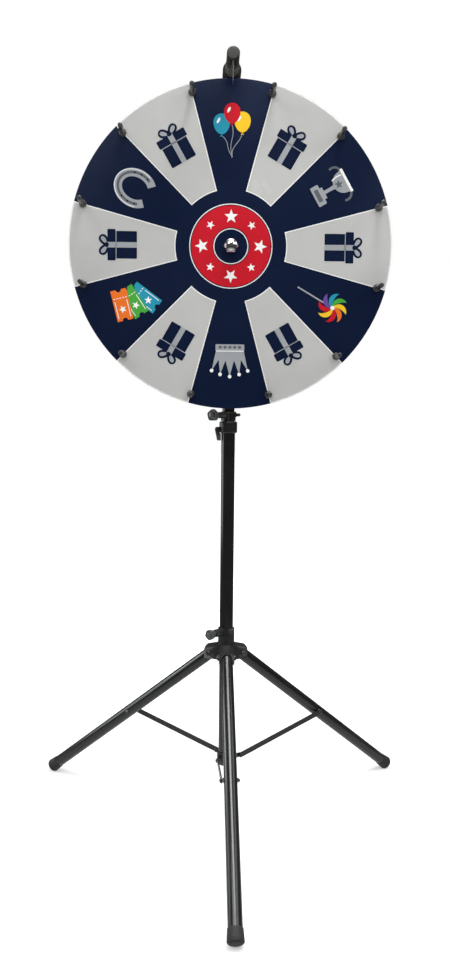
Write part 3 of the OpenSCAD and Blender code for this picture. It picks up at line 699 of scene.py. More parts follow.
def board_fibre():
    """Pressed board: brown with fine fibres behind, and painted dark at the rim, told by the radius."""
    material, tree, shader = material_tree("Board fibre")
    given = finish_settings()
    place = tree.add("ShaderNodeTexCoord").outputs["Object"]
    centred = tree.moved(place, location=-WHEEL)
    radius = tree.distance(tree.moved(centred, scale=(1.0, 0.0, 1.0)))
    rim = tree.spread(radius, WHEEL_R - RIM_PAINT, WHEEL_R - RIM_PAINT + 0.001)
    cloud = tree.noise(centred, 26.0, 5.0, 0.6)
    fibre = tree.noise(tree.moved(centred, scale=(1.0, 1.0, 0.22)), 900.0, 3.0, 0.7)
    mixed = tree.math("ADD", tree.math("MULTIPLY", cloud, 0.5), tree.math("MULTIPLY", fibre, 0.5))
    brown = tree.mix(tree.spread(mixed, 0.35, 0.65), shades(given.board, 0.72), shades(given.board, 1.22))
    tree.fill(shader, {
        "Base Color": tree.mix(rim, brown, (*given.board_edge, 1.0)),
        "Roughness": tree.spread(rim, 0.0, 1.0, 0.72, 0.42),
        "Normal": tree.bump(fibre, 0.25)})
    return material


# Board, sheet and light segments

BOARD_EDGE = 0.0006
SHEET_EDGE = 0.0003
ROUND_SIDES = 240  # sides of the board and the sheet
SEGMENT_HALF = math.radians(15)


def sector(middle, half, inner, outer, inset):
    """Outline of a segment between two radii: an inner arc and an outer arc, each drawn in by an inset."""
    low, high = inner + inset, outer - inset
    inner_half = half - math.asin(inset / low)
    outer_half = half - math.asin(inset / high)
    near = middle + np.linspace(-inner_half, inner_half, 25)
    far = middle + np.linspace(outer_half, -outer_half, 41)
    turn = np.concatenate((near, far))
    radius = np.concatenate((np.full(len(near), low), np.full(len(far), high)))
    return np.stack((radius * np.cos(turn), radius * np.sin(turn)), -1)


def printed(name, shapes, tones, inks, replaced=()):
    """Thin solid prints on the wheel's face as one piece, each shape in its own ink."""
    points, faces = joined(shapes)
    mesh = bpy.data.meshes.new(name)
    mesh.from_pydata(points.tolist(), [], faces)
    numbers = np.repeat(tones, [len(shape[1]) for shape in shapes])
    mesh.polygons.foreach_set("material_index", numbers.astype(np.int32))
    put(name, mesh, [ink(tone) for tone in inks], "wheel", replaced)


def print_segments():
    """Six light segments, each a white ground with the pale colour laid inside its keyline."""
    given = print_settings()
    outer = WHEEL_R - SHEET_EDGE
    shapes = []
    tones = []
    for middle in np.radians(np.arange(0, 360, 60)):
        ground = sector(middle, SEGMENT_HALF, CENTRE_R, outer, 0.0)
        pale = sector(middle, SEGMENT_HALF, CENTRE_R, outer, given.keyline)
        shapes += [prism(ground, FACE, PALE_FACE), prism(pale, PALE_FACE, PALE_FACE + given.layer)]
        tones += [0, 1]
    printed("light_segments_print", shapes, tones, ["white", "pale"], ["light_segments"])


class PRIZEWHEEL_OT_board(bpy.types.Operator):
    """Make the round board, its dark sheet and the light segments"""

    bl_idname = "prize_wheel.board"
    bl_label = "Board"

    def execute(self, context):
        board = tube("wheel_board", WHEEL, FORWARD, BOARD_EDGE, ROUND_SIDES)
        shaped("wheel_board", [board], board_fibre())
        sheet = tube("face_sheet", WHEEL, FORWARD, SHEET_EDGE, ROUND_SIDES)
        shaped("face_sheet", [sheet], sheet_vinyl("Navy vinyl", print_settings().navy, 0.9))
        print_segments()
        return {"FINISHED"}


# Print motifs, in millimetres: x to the right and y outwards from the wheel's centre


def arc(x, y, radius, start, end, count=20):
    """Points on a circle from one turn to another, in degrees."""
    turn = np.radians(np.linspace(start, end, count))
    return np.stack((x + radius * np.cos(turn), y + radius * np.sin(turn)), -1)


def oval(x, y, half_w, half_h, count=40, taper=0.0):
    """An ellipse, drawn in towards its foot by a taper."""
    turn = np.linspace(0, 2 * np.pi, count, endpoint=False)
    rise = np.sin(turn)
    return np.stack((x + half_w * np.cos(turn) * (1 + taper * rise), y + half_h * rise), -1)


def plate(x, y, half_w, half_h, corner=2.0):
    """A rectangle with rounded corners."""
    return rounded([
        (x - half_w, y - half_h, corner), (x + half_w, y - half_h, corner),
        (x + half_w, y + half_h, corner), (x - half_w, y + half_h, corner)], closed=True)


def band(path, width):
    """A strip of even width along a path: each point moved half the width to both sides of its tangent."""
    run = np.gradient(path, axis=0)
    run = run / np.linalg.norm(run, axis=1)[:, None]
    side = np.stack((-run[:, 1], run[:, 0]), -1) * width / 2
    return np.concatenate((path + side, (path - side)[::-1]))


def star(x, y, outer, inner, count=5, turn=90.0):
    """A star: points at two radii in turn."""
    angles = np.radians(turn + np.arange(2 * count) * 180 / count)
    radius = np.where(np.arange(2 * count) % 2 == 0, outer, inner)
    return np.stack((x + radius * np.cos(angles), y + radius * np.sin(angles)), -1)


def turned_outline(outline, degrees, x=0.0, y=0.0):
    """An outline turned about a point."""
    turn = math.radians(degrees)
    away = outline - (x, y)
    return (x, y) + away @ np.array(((math.cos(turn), math.sin(turn)), (-math.sin(turn), math.cos(turn))))


def mirrored(half):
    """A half outline from the top down on the right, closed by its mirror image on the left."""
    return np.concatenate((half, half[::-1] * (-1, 1)))


def gift():
    """A wrapped box with a lid, a ribbon and a bow."""
    loop = turned_outline(oval(0, 9, 7.5, 13, taper=0.35), -52)
    eye = turned_outline(oval(0, 11, 3.6, 7.5, taper=0.35), -52)
    bow_y = 20
    parts = [
        (plate(0, -14, 25, 20), 0, "navy"),
        (plate(0, 13, 28.5, 7.5), 1, "navy"),
        (plate(0, 4.6, 25, 0.7, 0.3), 2, "silver"),
        (plate(0, -14.2, 5, 19.8, 0.3), 2, "silver"),
        (plate(0, 13, 5, 7.5, 0.3), 3, "silver"),
    ]
    for side in (1, -1):
        parts.append((loop * (side, 1) + (0, bow_y), 2, "navy"))
        parts.append((eye * (side, 1) + (0, bow_y), 3, "silver"))
    parts.append((oval(0, bow_y + 2, 4.5, 4), 4, "navy"))
    return parts


def trophy():
    """A two-handled cup on a foot, with a star on its bowl."""
    bowl = np.concatenate(([(21, 40), (21, 35)], arc(0, 34, 20, -4, -78, 16), [(3.2, 6), (3.2, -8)]))
    rise = np.arange(-12, 9)
    gleam = np.stack((-14 + 0.02 * rise ** 2, rise + 28.0), -1)
    parts = [(band(arc(side * 20, 26, 12, 90 - side * 115, 90), 4.2), 0, "shade") for side in (1, -1)]
    parts += [
        (mirrored(bowl), 1, "silver"),
        (plate(0, 40, 23, 2.4, 1.2), 2, "white"),
        (plate(0, -9, 11, 3, 1.5), 2, "silver"),
        (plate(0, -19, 19, 8, 2), 1, "silver"),
        (plate(0, -19, 12, 4, 1), 2, "shade"),
        (star(0, 24, 8.5, 3.6), 2, "shade"),
        (band(gleam, 2.2), 2, "white"),
    ]
    return parts


def horseshoe():
    """A shoe open towards the centre, with a fuller and nail holes."""
    half_w, half_h = 27, 33
    sweep = np.radians(np.linspace(-52, 232, 60))
    path = np.stack((half_w * np.cos(sweep), half_h * np.sin(sweep)), -1)
    parts = [(band(path, 15), 0, "silver"), (band(path[4:-4], 4.6), 1, "shade")]
    for turn in np.radians(np.array((-22, 2, 26, 154, 178, 202))):
        hole = oval(half_w * math.cos(turn), half_h * math.sin(turn), 1.7, 1.7, 16)
        parts.append((hole, 2, "navy"))
    parts.append((band(path[6:-6] * 1.2, 1.3), 1, "white"))
    return parts


def crown():
    """A five-pointed crown with balls on its points and stones in its band."""
    tips = ((-34, 24), (-18, 31), (0, 35), (18, 31), (34, 24))
    body = np.array((
        (-25, -18), (25, -18), (34, 24), (21, 4), (18, 31), (8, 5),
        (0, 35), (-8, 5), (-18, 31), (-21, 4), (-34, 24)), float)
    parts = [
        (body, 0, "silver"),
        (plate(0, -19, 27, 6, 1.5), 1, "silver"),
        (plate(0, -12.4, 26, 0.8, 0.3), 2, "white"),
    ]
    parts += [(oval(x, y, 3.4, 3.4, 24), 1, "white") for x, y in tips]
    parts += [(oval(x, -19.5, 3.2, 2.6, 24), 2, "shade") for x in (-18, -9, 0, 9, 18)]
    return parts


def balloons():
    """Three balloons whose strings meet in a knot."""
    knot_y = -46
    fall = np.linspace(0, 1, 18)
    parts = []
    for x, y, tone, level in ((-19, 14, "teal", 0), (19, 18, "yellow", 0), (0, 33, "red", 2)):
        sway = x * (1 - fall) ** 1.5 + 2.0 * np.sin(fall * 7)
        string = np.stack((sway * (fall < 1), (y - 20) + (knot_y - y + 20) * fall), -1)
        shine = turned_outline(oval(x - 6, y + 6, 2.2, 5.5, 24), -28, x - 6, y + 6)
        mouth = np.array(((x, y - 18), (x + 3, y - 22.5), (x - 3, y - 22.5)), float)
        parts += [
            (band(string, 1.1), level, "silver"),
            (mouth, level, tone),
            (oval(x, y, 15, 18.5, taper=0.14), level + 1, tone),
            (shine, level + 2, "white"),
        ]
    return parts


def ticket(x, y, tilt, tone, level):
    """A ticket with a bite at both ends, a tear line, and a star between two rules."""
    half_w, half_h, bite = 29, 15, 5
    right = np.concatenate((
        [(half_w, half_h)], arc(half_w, 0, bite, 90, 270, 14), [(half_w, -half_h)]))
    marks = [(mirrored(right), level, tone), (star(-8, 0, 7.5, 3.2), level + 1, "white")]
    marks += [(plate(13, mark, 0.7, 1.6, 0.3), level + 1, "white") for mark in (-11, -5.5, 0, 5.5, 11)]
    marks += [(plate(-8, side * 11.4, 16, 0.6, 0.3), level + 1, "white") for side in (1, -1)]
    return [(turned_outline(shape, tilt) + (x, y), height, shade) for shape, height, shade in marks]


def tickets():
    """Three tickets fanned over each other."""
    return (
        ticket(-3, -19, 24, "teal", 0)
        + ticket(1, 3, 4, "green", 2)
        + ticket(6, 25, -16, "orange", 4))


def pinwheel():
    """Eight curved blades in rainbow colours round a hub, on a stick."""
    tones = ("red", "orange", "yellow", "green", "teal", "violet", "red", "yellow")
    hub_y = 16
    lead = arc(14, 0, 14, 180, 20, 18)
    trail = arc(15, 2, 13, 10, 178, 14) * (1.0, 0.35)
    blade = np.concatenate((lead, trail))
    parts = [(plate(0, -30, 1.3, 30, 0.8), 0, "silver")]
    parts += [(turned_outline(blade, 45 * k) + (0, hub_y), 1, tone) for k, tone in enumerate(tones)]
    parts.append((oval(0, hub_y, 4, 4, 24), 2, "white"))
    return parts


def centre_ring():
    """A red ring between dark and white lines, with eight stars on it, every second one larger."""
    given = print_settings()
    width = (given.ring_out - given.ring_in) / MM
    middle = (given.ring_out + given.ring_in) / 2 / MM
    line = 1.6
    circle = arc(0, 0, middle, 0, 360, 145)
    parts = [
        (band(circle, width + 4 * line), 0, "white"),
        (band(circle, width + 2 * line), 1, "navy"),
        (band(circle, width), 2, "red"),
    ]
    for degrees in range(0, 360, 45):
        turn = math.radians(degrees)
        size = 13 if degrees % 90 == 0 else 8
        spot = (middle * math.cos(turn), middle * math.sin(turn))
        parts.append((star(*spot, size, size * 0.42, turn=degrees), 3, "white"))
    return parts


MOTIFS = {30: trophy, 90: balloons, 150: horseshoe, 210: tickets, 270: crown, 330: pinwheel}
MOTIF_R = 205.0
GIFT_R = 208.0


def on_sector(outline, degrees, radius):
    """An outline in millimetres moved out along a segment's middle, with its own y outwards, in metres."""
    turn = math.radians(degrees)
    out = radius + outline[:, 1]
    across = outline[:, 0]
    spot = (out * math.cos(turn) + across * math.sin(turn), out * math.sin(turn) - across * math.cos(turn))
    return np.stack(spot, -1) * MM


def print_motif(name, parts, degrees, radius, ground):
    """Prints one motif on a segment, each layer a little proud of the one under it."""
    given = print_settings()
    inks = sorted({tone for _, _, tone in parts})
    shapes = []
    for outline, level, _ in parts:
        front = ground + given.layer * (level + 1)
        shapes.append(prism(on_sector(np.array(outline, float), degrees, radius), ground, front))
    printed(name, shapes, [inks.index(tone) for _, _, tone in parts], inks)


class PRIZEWHEEL_OT_prints(bpy.types.Operator):
    """Print a gift on each light segment, a prize on each dark one, and a starred ring round the nut"""

    bl_idname = "prize_wheel.prints"
    bl_label = "Prints"

    def execute(self, context):
        pale_ink = PALE_FACE + print_settings().layer
        for degrees in range(0, 360, 60):
            print_motif(f"gift_print_{degrees}", gift(), degrees, GIFT_R, pale_ink)
        for degrees, motif in MOTIFS.items():
            print_motif(f"{motif.__name__}_print", motif(), degrees, MOTIF_R, FACE)
        print_motif("centre_ring_print", centre_ring(), 90, 0.0, FACE)
        return {"FINISHED"}


# Pegs, screws and bearing

PEG_RING = (12, 15)  # how many, and the turn of the first in degrees
FLANGE_RING = (6, 0)


def peg(points):
    """A pin: a domed foot that draws in to a slim waisted shaft with a rounded tip."""
    axle = forward_axis(points)
    low, high, _, foot_r = extent(points, axle, FORWARD)
    tip_l = 0.02
    tip = points[points[:, 1] < MAST[1] - high + tip_l]
    shaft_r = extent(tip, axle, FORWARD)[3]
    dome = low + 0.002 + foot_r
    line = rounded([
        (0, low, 0), (foot_r, low, 0.0004), (foot_r, low + 0.004, 0.003),
        (foot_r * 0.86, dome - 0.0016, 0.003), (shaft_r * 0.9, dome + 0.001, 0.002),
        (shaft_r * 0.93, dome + 0.016, 0.008), (shaft_r, high - 0.006, 0.006),
        (shaft_r * 0.96, high, 0.0032), (0, high, 0)], steps=6)
    return turned(line, axle, FORWARD, sides=40)


class PRIZEWHEEL_OT_pegs(bpy.types.Operator):
    """Make the pegs near the rim"""

    bl_idname = "prize_wheel.pegs"
    bl_label = "Pegs"

    def execute(self, context):
        shaped("pegs", [peg(points) for points in ring_parts("pegs", *PEG_RING)], peg_plastic())
        return {"FINISHED"}


def pan_head(points):
    """A pan-headed screw: a low dome with a cross-shaped recess sunk in it, and a plain shank.

    The recess is deepest along the two lines of the cross, and runs out beside them and at their ends.
    """
    axle = forward_axis(points)
    low, high, _, head_r = extent(points, axle, FORWARD)
    flat_r = shank_r = head_r / 2
    seat = low + 0.0024
    line = rounded([
        (0, low, 0), (flat_r, low, 0.0008), (head_r * 0.86, low + 0.0004, 0.001),
        (head_r, low + 0.0016, 0.0008), (head_r, seat, 0), (shank_r, seat, 0), (shank_r, high, 0),
        (0, high, 0)])
    rings = np.linspace(0, flat_r, 9)
    flat = np.stack((rings, np.full(len(rings), low)), -1)
    past_flat = (line[:, 0] > flat_r) | (line[:, 1] >= seat)
    shape_points, faces = turned(np.concatenate((flat, line[past_flat])), axle, FORWARD)
    away = shape_points - axle
    first, second = square_to(FORWARD)
    across = np.minimum(np.abs(away @ first), np.abs(away @ second))
    radius = np.hypot(away @ first, away @ second)
    beside = np.clip((head_r * 0.2 - across) / (head_r * 0.12), 0, 1)
    inside = np.clip((head_r * 0.56 - radius) / (head_r * 0.1), 0, 1)
    on_top = away @ FORWARD < low + 0.0006
    recess = 0.0011
    return shape_points + np.outer(beside * inside * on_top * recess, FORWARD), faces


class PRIZEWHEEL_OT_screws(bpy.types.Operator):
    """Make the screws behind the wheel, all with domed heads and crossed recesses"""

    bl_idname = "prize_wheel.screws"
    bl_label = "Screws"

    def execute(self, context):
        block = node_points("block_screws")
        upper = block[:, 2] > WHEEL[2]
        for node, parts, material in (
                ("peg_screws", ring_parts("peg_screws", *PEG_RING), zinc()),
                ("flange_screws", ring_parts("flange_screws", *FLANGE_RING), zinc()),
                ("block_screws", [block[upper], block[~upper]], dark_zinc()),
                ("arm_screw", [node_points("arm_screw")], dark_zinc())):
            shaped(node, [pan_head(points) for points in parts], material)
        return {"FINISHED"}


def cap_nut():
    """A hexagonal nut with chamfered ends and a polished dome, which is part of a sphere."""
    low, high, _, corner = extent(node_points("cap_nut"), WHEEL, FORWARD)
    flats = corner * 2 * math.cos(math.pi / 6)
    hexagon_top = low + 0.0095
    dome_r = flats * 0.465
    tilt = np.radians(np.linspace(50, 0, 16))
    sphere_r = dome_r / math.sin(tilt[0])
    dome = np.stack((sphere_r * np.sin(tilt), high - sphere_r * (1 - np.cos(tilt))), -1)
    base = rounded([
        (0, low, 0), (flats * 0.49, low, 0), (corner * 0.985, low + 0.0012, 0.0006),
        (corner, low + 0.003, 0.001), (corner * 0.99, hexagon_top - 0.0024, 0.0016),
        (flats * 0.485, hexagon_top, 0.0012), (dome_r * 1.02, hexagon_top + 0.0002, 0.0006),
        (dome_r, hexagon_top + 0.0008, 0.0004), (*dome[0], 0.0012), (*dome[1], 0)], steps=6)
    line = np.concatenate((base, dome[2:]))
    return turned(line, WHEEL, FORWARD, radius=hexagonal(line, flats, sides=144, corner_up=True))


class PRIZEWHEEL_OT_bearing(bpy.types.Operator):
    """Make the flange, bushes, axle and the bright domed nut"""

    bl_idname = "prize_wheel.bearing"
    bl_label = "Bearing"

    def execute(self, context):
        softened("hub_flange", cast_alloy(), width=0.0012)
        repainted(bush_bronze(), "rear_bush", "front_bush")
        repainted(zinc(), "axle_spacer")
        repainted(chrome(), "axle")
        shaped("cap_nut", [cap_nut()], chrome())
        return {"FINISHED"}


# Head and pointer


class PRIZEWHEEL_OT_head(bpy.types.Operator):
    """Make the post and the axle block behind the wheel"""

    bl_idname = "prize_wheel.head"
    bl_label = "Head"

    def execute(self, context):
        shaped("head_post", [tube("head_post", MAST, UP, edge=0.0005)], tube_paint())
        softened("axle_block", moulded_black(), width=0.0016)
        repainted(moulded_black(), "post_spigot")
        return {"FINISHED"}


def ribbed_sleeve():
    """The arm's sleeve: a tube whose wall rises and falls in shallow ribs along it."""
    lowest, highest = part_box("arm_sleeve")
    arm = np.array((MAST[0], MAST[1], (lowest[2] + highest[2]) / 2))
    low, high, inner, outer = extent(node_points("arm_sleeve"), arm, FORWARD)
    steps = 10
    ribs = [(outer - 0.0004 * (k % 2), low + (high - low) * k / steps, 0.001) for k in range(1, steps)]
    line = rounded([
        (inner, low, 0), (outer, low, 0.001), *ribs, (outer, high, 0.001), (inner, high, 0)], closed=True)
    return turned(line, arm, FORWARD, closed=True)


class PRIZEWHEEL_OT_pointer(bpy.types.Operator):
    """Make the arm, the holder and the leaf"""

    bl_idname = "prize_wheel.pointer"
    bl_label = "Pointer"

    def execute(self, context):
        softened("arm_elbow", elbow_plastic(), width=0.0014)
        softened("pointer_holder", pointer_plastic(), finish_settings().edge)
        shaped("arm_sleeve", [ribbed_sleeve()], sleeve_plastic())
        softened("flapper", leaf_plastic(), width=0.0003)
        repainted(zinc(), "flapper_pin")
        return {"FINISHED"}


# Mast


def end_plug():
    """The plug in the foot of the main tube: a lip below the tube and a core inside it."""
    low, high, _, outer = extent(node_points("tube_plug"), MAST, UP)
    lip = low + 0.003
    core = outer - 0.0016
    line = rounded([
        (0, low, 0), (outer, low, 0.0012), (outer, lip, 0),
        (core, lip, 0), (core, high, 0.0006), (0, high, 0)])
    return turned(line, MAST, UP)


class PRIZEWHEEL_OT_mast(bpy.types.Operator):
    """Make the main tube and the sliding tube"""

    bl_idname = "prize_wheel.mast"
    bl_label = "Mast"

    def execute(self, context):
        for node in ("main_tube", "inner_tube"):
            shaped(node, [tube(node, MAST, UP, edge=0.0004)], tube_paint())
        repainted(moulded_black(), "tube_glide", "clamp_bush")
        shaped("tube_plug", [end_plug()], foot_rubber())
        return {"FINISHED"}


LOBES = 5


def lobe_turn(points, place, axis):
    """The turn of a knob's lobes: a fifth of the mean turn of its outermost points, taken five-fold."""
    away = points - place
    first, second = square_to(axis)
    spot = away @ first + 1j * (away @ second)
    rim = spot[np.abs(spot) > np.abs(spot).max() * 0.985]
    return np.angle(((rim / np.abs(rim)) ** LOBES).mean()) / LOBES


def star_knob(node, joint):
    """A five-lobed knob: a lobed outline whose edges round over, on a stem, with a domed cap in the middle.

    The outline is a pentagon whose corners are cut by a circle. Where the two meet they blend: the radius
    is (side ** -hardness + 1) ** (-1 / hardness), as a share of the circle's.
    """
    place = joint_place(joint)
    axis = joint_axis(joint)
    points = node_points(node)
    low, cap_top, _, outer = extent(points, place, axis)
    top = cap_top - 0.002
    bottom = top - 0.0095
    stem_r = 0.0045
    cap_r = outer * 0.58
    dish_r = cap_r * 1.12
    line = rounded([
        (0, low, 0), (stem_r, low, 0.0004), (stem_r, bottom - 0.0005, 0.0008), (outer * 0.6, bottom, 0.001),
        (outer * 0.97, bottom + 0.0004, 0.0009), (outer, bottom + 0.0018, 0.0012),
        (outer, top - 0.0016, 0.0012), (outer * 0.95, top, 0.0009), (outer * 0.84, top - 0.0002, 0.0006),
        (dish_r, top - 0.0018, 0.0006), (cap_r, top - 0.0018, 0.0003),
        (cap_r * 0.95, cap_top - 0.0016, 0.0014), (cap_r * 0.5, cap_top - 0.0004, 0.003),
        (0, cap_top, 0)], steps=6)
    flat_share = 0.84
    hardness = 14
    turn = np.linspace(0, 2 * np.pi, 120, endpoint=False)
    side = side_radius(flat_share, turn - lobe_turn(points, place, axis) - np.pi / LOBES, LOBES)
    lobe = (side ** -hardness + 1) ** (-1 / hardness)
    share = np.clip((line[:, :1] - dish_r) / (outer - dish_r), 0, 1)
    radius = line[:, :1] * (1 - share + share * lobe[None])
    shaped(node, [turned(line, place, axis, radius=radius)], knob_nylon())


def hex_nut(points, axle, axis, bolt_r):
    """A nut with chamfered ends, bored for its bolt."""
    low, high, _, corner = extent(points, axle, axis)
    flats = corner * 2 * math.cos(math.pi / 6)
    line = rounded([
        (bolt_r, low, 0), (flats * 0.49, low, 0), (corner * 1.01, low + 0.0008, 0.0003),
        (corner * 1.01, high - 0.0008, 0.0003), (flats * 0.48, high, 0), (bolt_r, high, 0)], closed=True)
    return turned(line, axle, axis, closed=True, radius=hexagonal(line, flats))


class PRIZEWHEEL_OT_socket(bpy.types.Operator):
    """Make the socket that joins the head to the sliding tube, with its cross bolt, nut and knob"""

    bl_idname = "prize_wheel.socket"
    bl_label = "Socket"

    def execute(self, context):
        softened("head_socket", moulded_black(), finish_settings().edge)
        star_knob("head_knob", "head_knob_turn")
        place = joint_place("head_knob_turn")
        axis = joint_axis("head_knob_turn")
        bore_r = 0.00305
        nut = hex_nut(node_points("head_bolt_nut"), place, -axis, bore_r)
        shaped("head_bolt_nut", [nut], dark_zinc())
        low, high, _, outer = extent(node_points("head_bolt"), place, axis)
        line = rounded([(0, low, 0), (outer, low, 0.0012), (outer, high, 0), (0, high, 0)])
        shaped("head_bolt", [turned(line, place, axis, sides=32)], dark_zinc())
        return {"FINISHED"}


def lever_pin():
    """The lever's pin: a shank between two rounded heads."""
    place = joint_place("clamp_lever_flip")
    low, high, _, head_r = extent(node_points("lever_pin"), place, FORWARD)
    head = 0.0012
    shank_r = head_r - 0.001
    line = rounded([
        (0, low, 0), (head_r, low, 0.0009), (head_r, low + head, 0), (shank_r, low + head, 0),
        (shank_r, high - head, 0), (head_r, high - head, 0), (head_r, high, 0.0009), (0, high, 0)])
    return turned(line, place, FORWARD, sides=32)


class PRIZEWHEEL_OT_lock(bpy.types.Operator):
    """Make the flip lock's collar, lever and pin"""

    bl_idname = "prize_wheel.lock"
    bl_label = "Flip lock"

    def execute(self, context):
        softened("clamp_collar", moulded_black(), finish_settings().edge)
        softened("clamp_lever", moulded_black(), width=0.0011)
        shaped("lever_pin", [lever_pin()], dark_zinc())
        return {"FINISHED"}


# Tripod

BRACE_WIDER = 0.2  # share by which a brace shows wider than its plain strip


def pivot_bolt(points, pivot, side, shank_r):
    """A leg's pivot bolt: a domed head with a round socket sunk in it, on a plain shank."""
    low, high, _, head_r = extent(points, pivot, side)
    socket_r = head_r * 0.44
    floor = low + 0.0022
    seat = low + 0.0035
    line = rounded([
        (0, floor, 0), (socket_r, floor, 0.0002), (socket_r, low, 0.0003), (head_r * 0.72, low, 0.0014),
        (head_r, low + 0.0014, 0.0012), (head_r, seat, 0), (shank_r, seat, 0), (shank_r, high, 0.001),
        (0, high, 0)])
    return turned(line, pivot, side, sides=40)


class PRIZEWHEEL_OT_hub(bpy.types.Operator):
    """Make the sliding hub with its three forks, pivot bolts, nuts, and the knob that clamps it"""

    bl_idname = "prize_wheel.hub"
    bl_label = "Leg hub"

    def execute(self, context):
        softened("leg_hub", moulded_black(), finish_settings().edge)
        star_knob("hub_knob", "hub_knob_turn")
        repainted(dark_zinc(), "hub_screw")
        bolts = []
        nuts = []
        for name in LEGS:
            pivot, _, side = leg_frame(name)
            points = near_leg("leg_bolts", name)
            shank_r = extent(points, pivot, side)[3] / 1.7
            bolts.append(pivot_bolt(points, pivot, side, shank_r))
            nuts.append(hex_nut(near_leg("leg_nuts", name), pivot, side, shank_r))
        shaped("leg_bolts", bolts, dark_zinc())
        shaped("leg_nuts", nuts, dark_zinc())
        return {"FINISHED"}


def rubber_foot(node, pivot, down, leg_r):
    """A rubber cap: sides that widen a little from its mouth, a shallow groove and a rounded end.

    Where it would pass through the floor it is worn flat.
    """
    low, high, _, outer = extent(node_points(node), pivot, down)
    mouth = outer - 0.0014
    sole = high - 0.0045
    line = rounded([
        (leg_r, low, 0.0003), (mouth, low, 0.0007), (outer - 0.0002, high - 0.0062, 0.0006),
        (outer - 0.0008, high - 0.0056, 0.0004), (outer, high - 0.0050, 0.0006), (outer, high - 0.003, 0.003),
        (outer - 0.003, high, 0.003), (0, high, 0), (0, sole, 0), (leg_r, sole, 0)], closed=True, steps=6)
    points, faces = turned(line, pivot, down, sides=72, closed=True)
    points[:, 2] = np.maximum(points[:, 2], 0)
    return points, faces


class PRIZEWHEEL_OT_legs(bpy.types.Operator):
    """Make the leg tubes, their end plugs and rubber feet"""

    bl_idname = "prize_wheel.legs"
    bl_label = "Legs"

    def execute(self, context):
        for name in LEGS:
            pivot, down, _ = leg_frame(name)
            leg = tube(f"leg_tube_{name}", pivot, down, edge=0.0005)
            foot = rubber_foot(f"foot_{name}", pivot, down, leg_radius(name))
            shaped(f"leg_tube_{name}", [leg], tube_paint())
            softened(f"leg_plug_{name}", moulded_black(), width=0.0004, segments=2)
            shaped(f"foot_{name}", [foot], foot_rubber())
        return {"FINISHED"}


def dome_rivet(points, place, side):
    """A rivet with a domed head at the far end of its shank."""
    low, high, _, head_r = extent(points, place, side)
    shank_r = head_r * 5 / 9
    seat = high - 0.0025
    line = rounded([
        (0, low, 0), (shank_r, low, 0.0003), (shank_r, seat, 0), (head_r, seat, 0.0002),
        (head_r * 0.97, seat + 0.0009, 0.0008), (head_r * 0.6, high - 0.0002, 0.0016), (0, high, 0)], steps=6)
    return turned(line, place, side, sides=40)


def brace_bolt(points, place, side, leg_r):
    """A brace's bolt: a pin through its leg that is thickened where it comes out on either side."""
    low, high, _, spacer_r = extent(points, place, side)
    pin_r = spacer_r / 1.8
    wall = leg_r - 0.001
    line = rounded([
        (0, low, 0), (pin_r, low, 0.0012), (pin_r, -leg_r - 0.0026, 0.0002),
        (spacer_r * 0.8, -leg_r - 0.0024, 0.0006), (spacer_r, -wall, 0), (pin_r, -wall, 0), (pin_r, wall, 0),
        (spacer_r, wall, 0), (spacer_r * 0.86, high, 0.0006), (0, high, 0)])
    return turned(line, place, side, sides=40)


class PRIZEWHEEL_OT_braces(bpy.types.Operator):
    """Make the flat braces, the bolts and rivets that they turn on, and the collar at the main tube's foot"""

    bl_idname = "prize_wheel.braces"
    bl_label = "Braces"

    def execute(self, context):
        softened("spreader", moulded_black(), finish_settings().edge)
        pins = []
        for name in LEGS:
            strip = softened(f"brace_{name}", tube_paint(), width=0.0005, segments=2)
            pivot, down, side = leg_frame(name)
            points = node_points(f"brace_bolt_{name}")
            place = pivot + ((points.mean(axis=0) - pivot) @ down) * down
            shaped(f"brace_bolt_{name}", [brace_bolt(points, place, side, leg_radius(name))], dark_zinc())
            rivet = dome_rivet(node_points(f"brace_rivet_{name}"), place, side)
            shaped(f"brace_rivet_{name}", [rivet], dark_zinc())
            fold = joint_place(f"brace_{name}_fold")
            across = np.cross(side, place - fold)
            broadened(strip.data, fold, across / np.linalg.norm(across), BRACE_WIDER)
            pins.append(dome_rivet(near_leg("spreader_pins", name), fold, side))
        shaped("spreader_pins", pins, dark_zinc())
        return {"FINISHED"}


# Stage


def add_camera():
    """The camera: forward is turned by yaw and tilted by pitch, then right and up are rolled about it."""
    given = stage_settings()
    level = math.cos(given.pitch)
    forward = Vector((math.sin(given.yaw) * level, math.cos(given.yaw) * level, -math.sin(given.pitch)))
    right = Vector((math.cos(given.yaw), -math.sin(given.yaw), 0))
    up = right.cross(forward)
    rolled_right = right * math.cos(given.roll) + up * math.sin(given.roll)
    rolled_up = up * math.cos(given.roll) - right * math.sin(given.roll)
    data = bpy.data.cameras.new("Camera")
    data.sensor_fit = "VERTICAL"
    data.sensor_height = data.sensor_width
    data.lens = given.focal_px / given.image_h * data.sensor_height
    camera = bpy.data.objects.new("Camera", data)
    turn = Matrix((rolled_right, rolled_up, -forward)).transposed().to_4x4()
    camera.matrix_world = Matrix.Translation(Vector(MAST) + Vector(given.camera_offset)) @ turn
    bpy.context.scene.collection.objects.link(camera)
    bpy.context.scene.camera = camera


def add_lamp(name, place, target, size, power, tint=(1.0, 1.0, 1.0), glossy=True, diffuse=True):
    """A rectangular lamp that faces a point; both places are from the foot of the mast."""
    data = bpy.data.lights.new(name, "AREA")
    data.shape = "RECTANGLE"
    data.size, data.size_y = size
    data.energy = power
    data.color = tint
    lamp = bpy.data.objects.new(name, data)
    lamp.location = Vector(MAST) + Vector(place)
    lamp.rotation_euler = (Vector(target) - Vector(place)).to_track_quat("-Z", "Y").to_euler()
    lamp.visible_glossy = glossy
    lamp.visible_diffuse = diffuse
    bpy.context.scene.collection.objects.link(lamp)


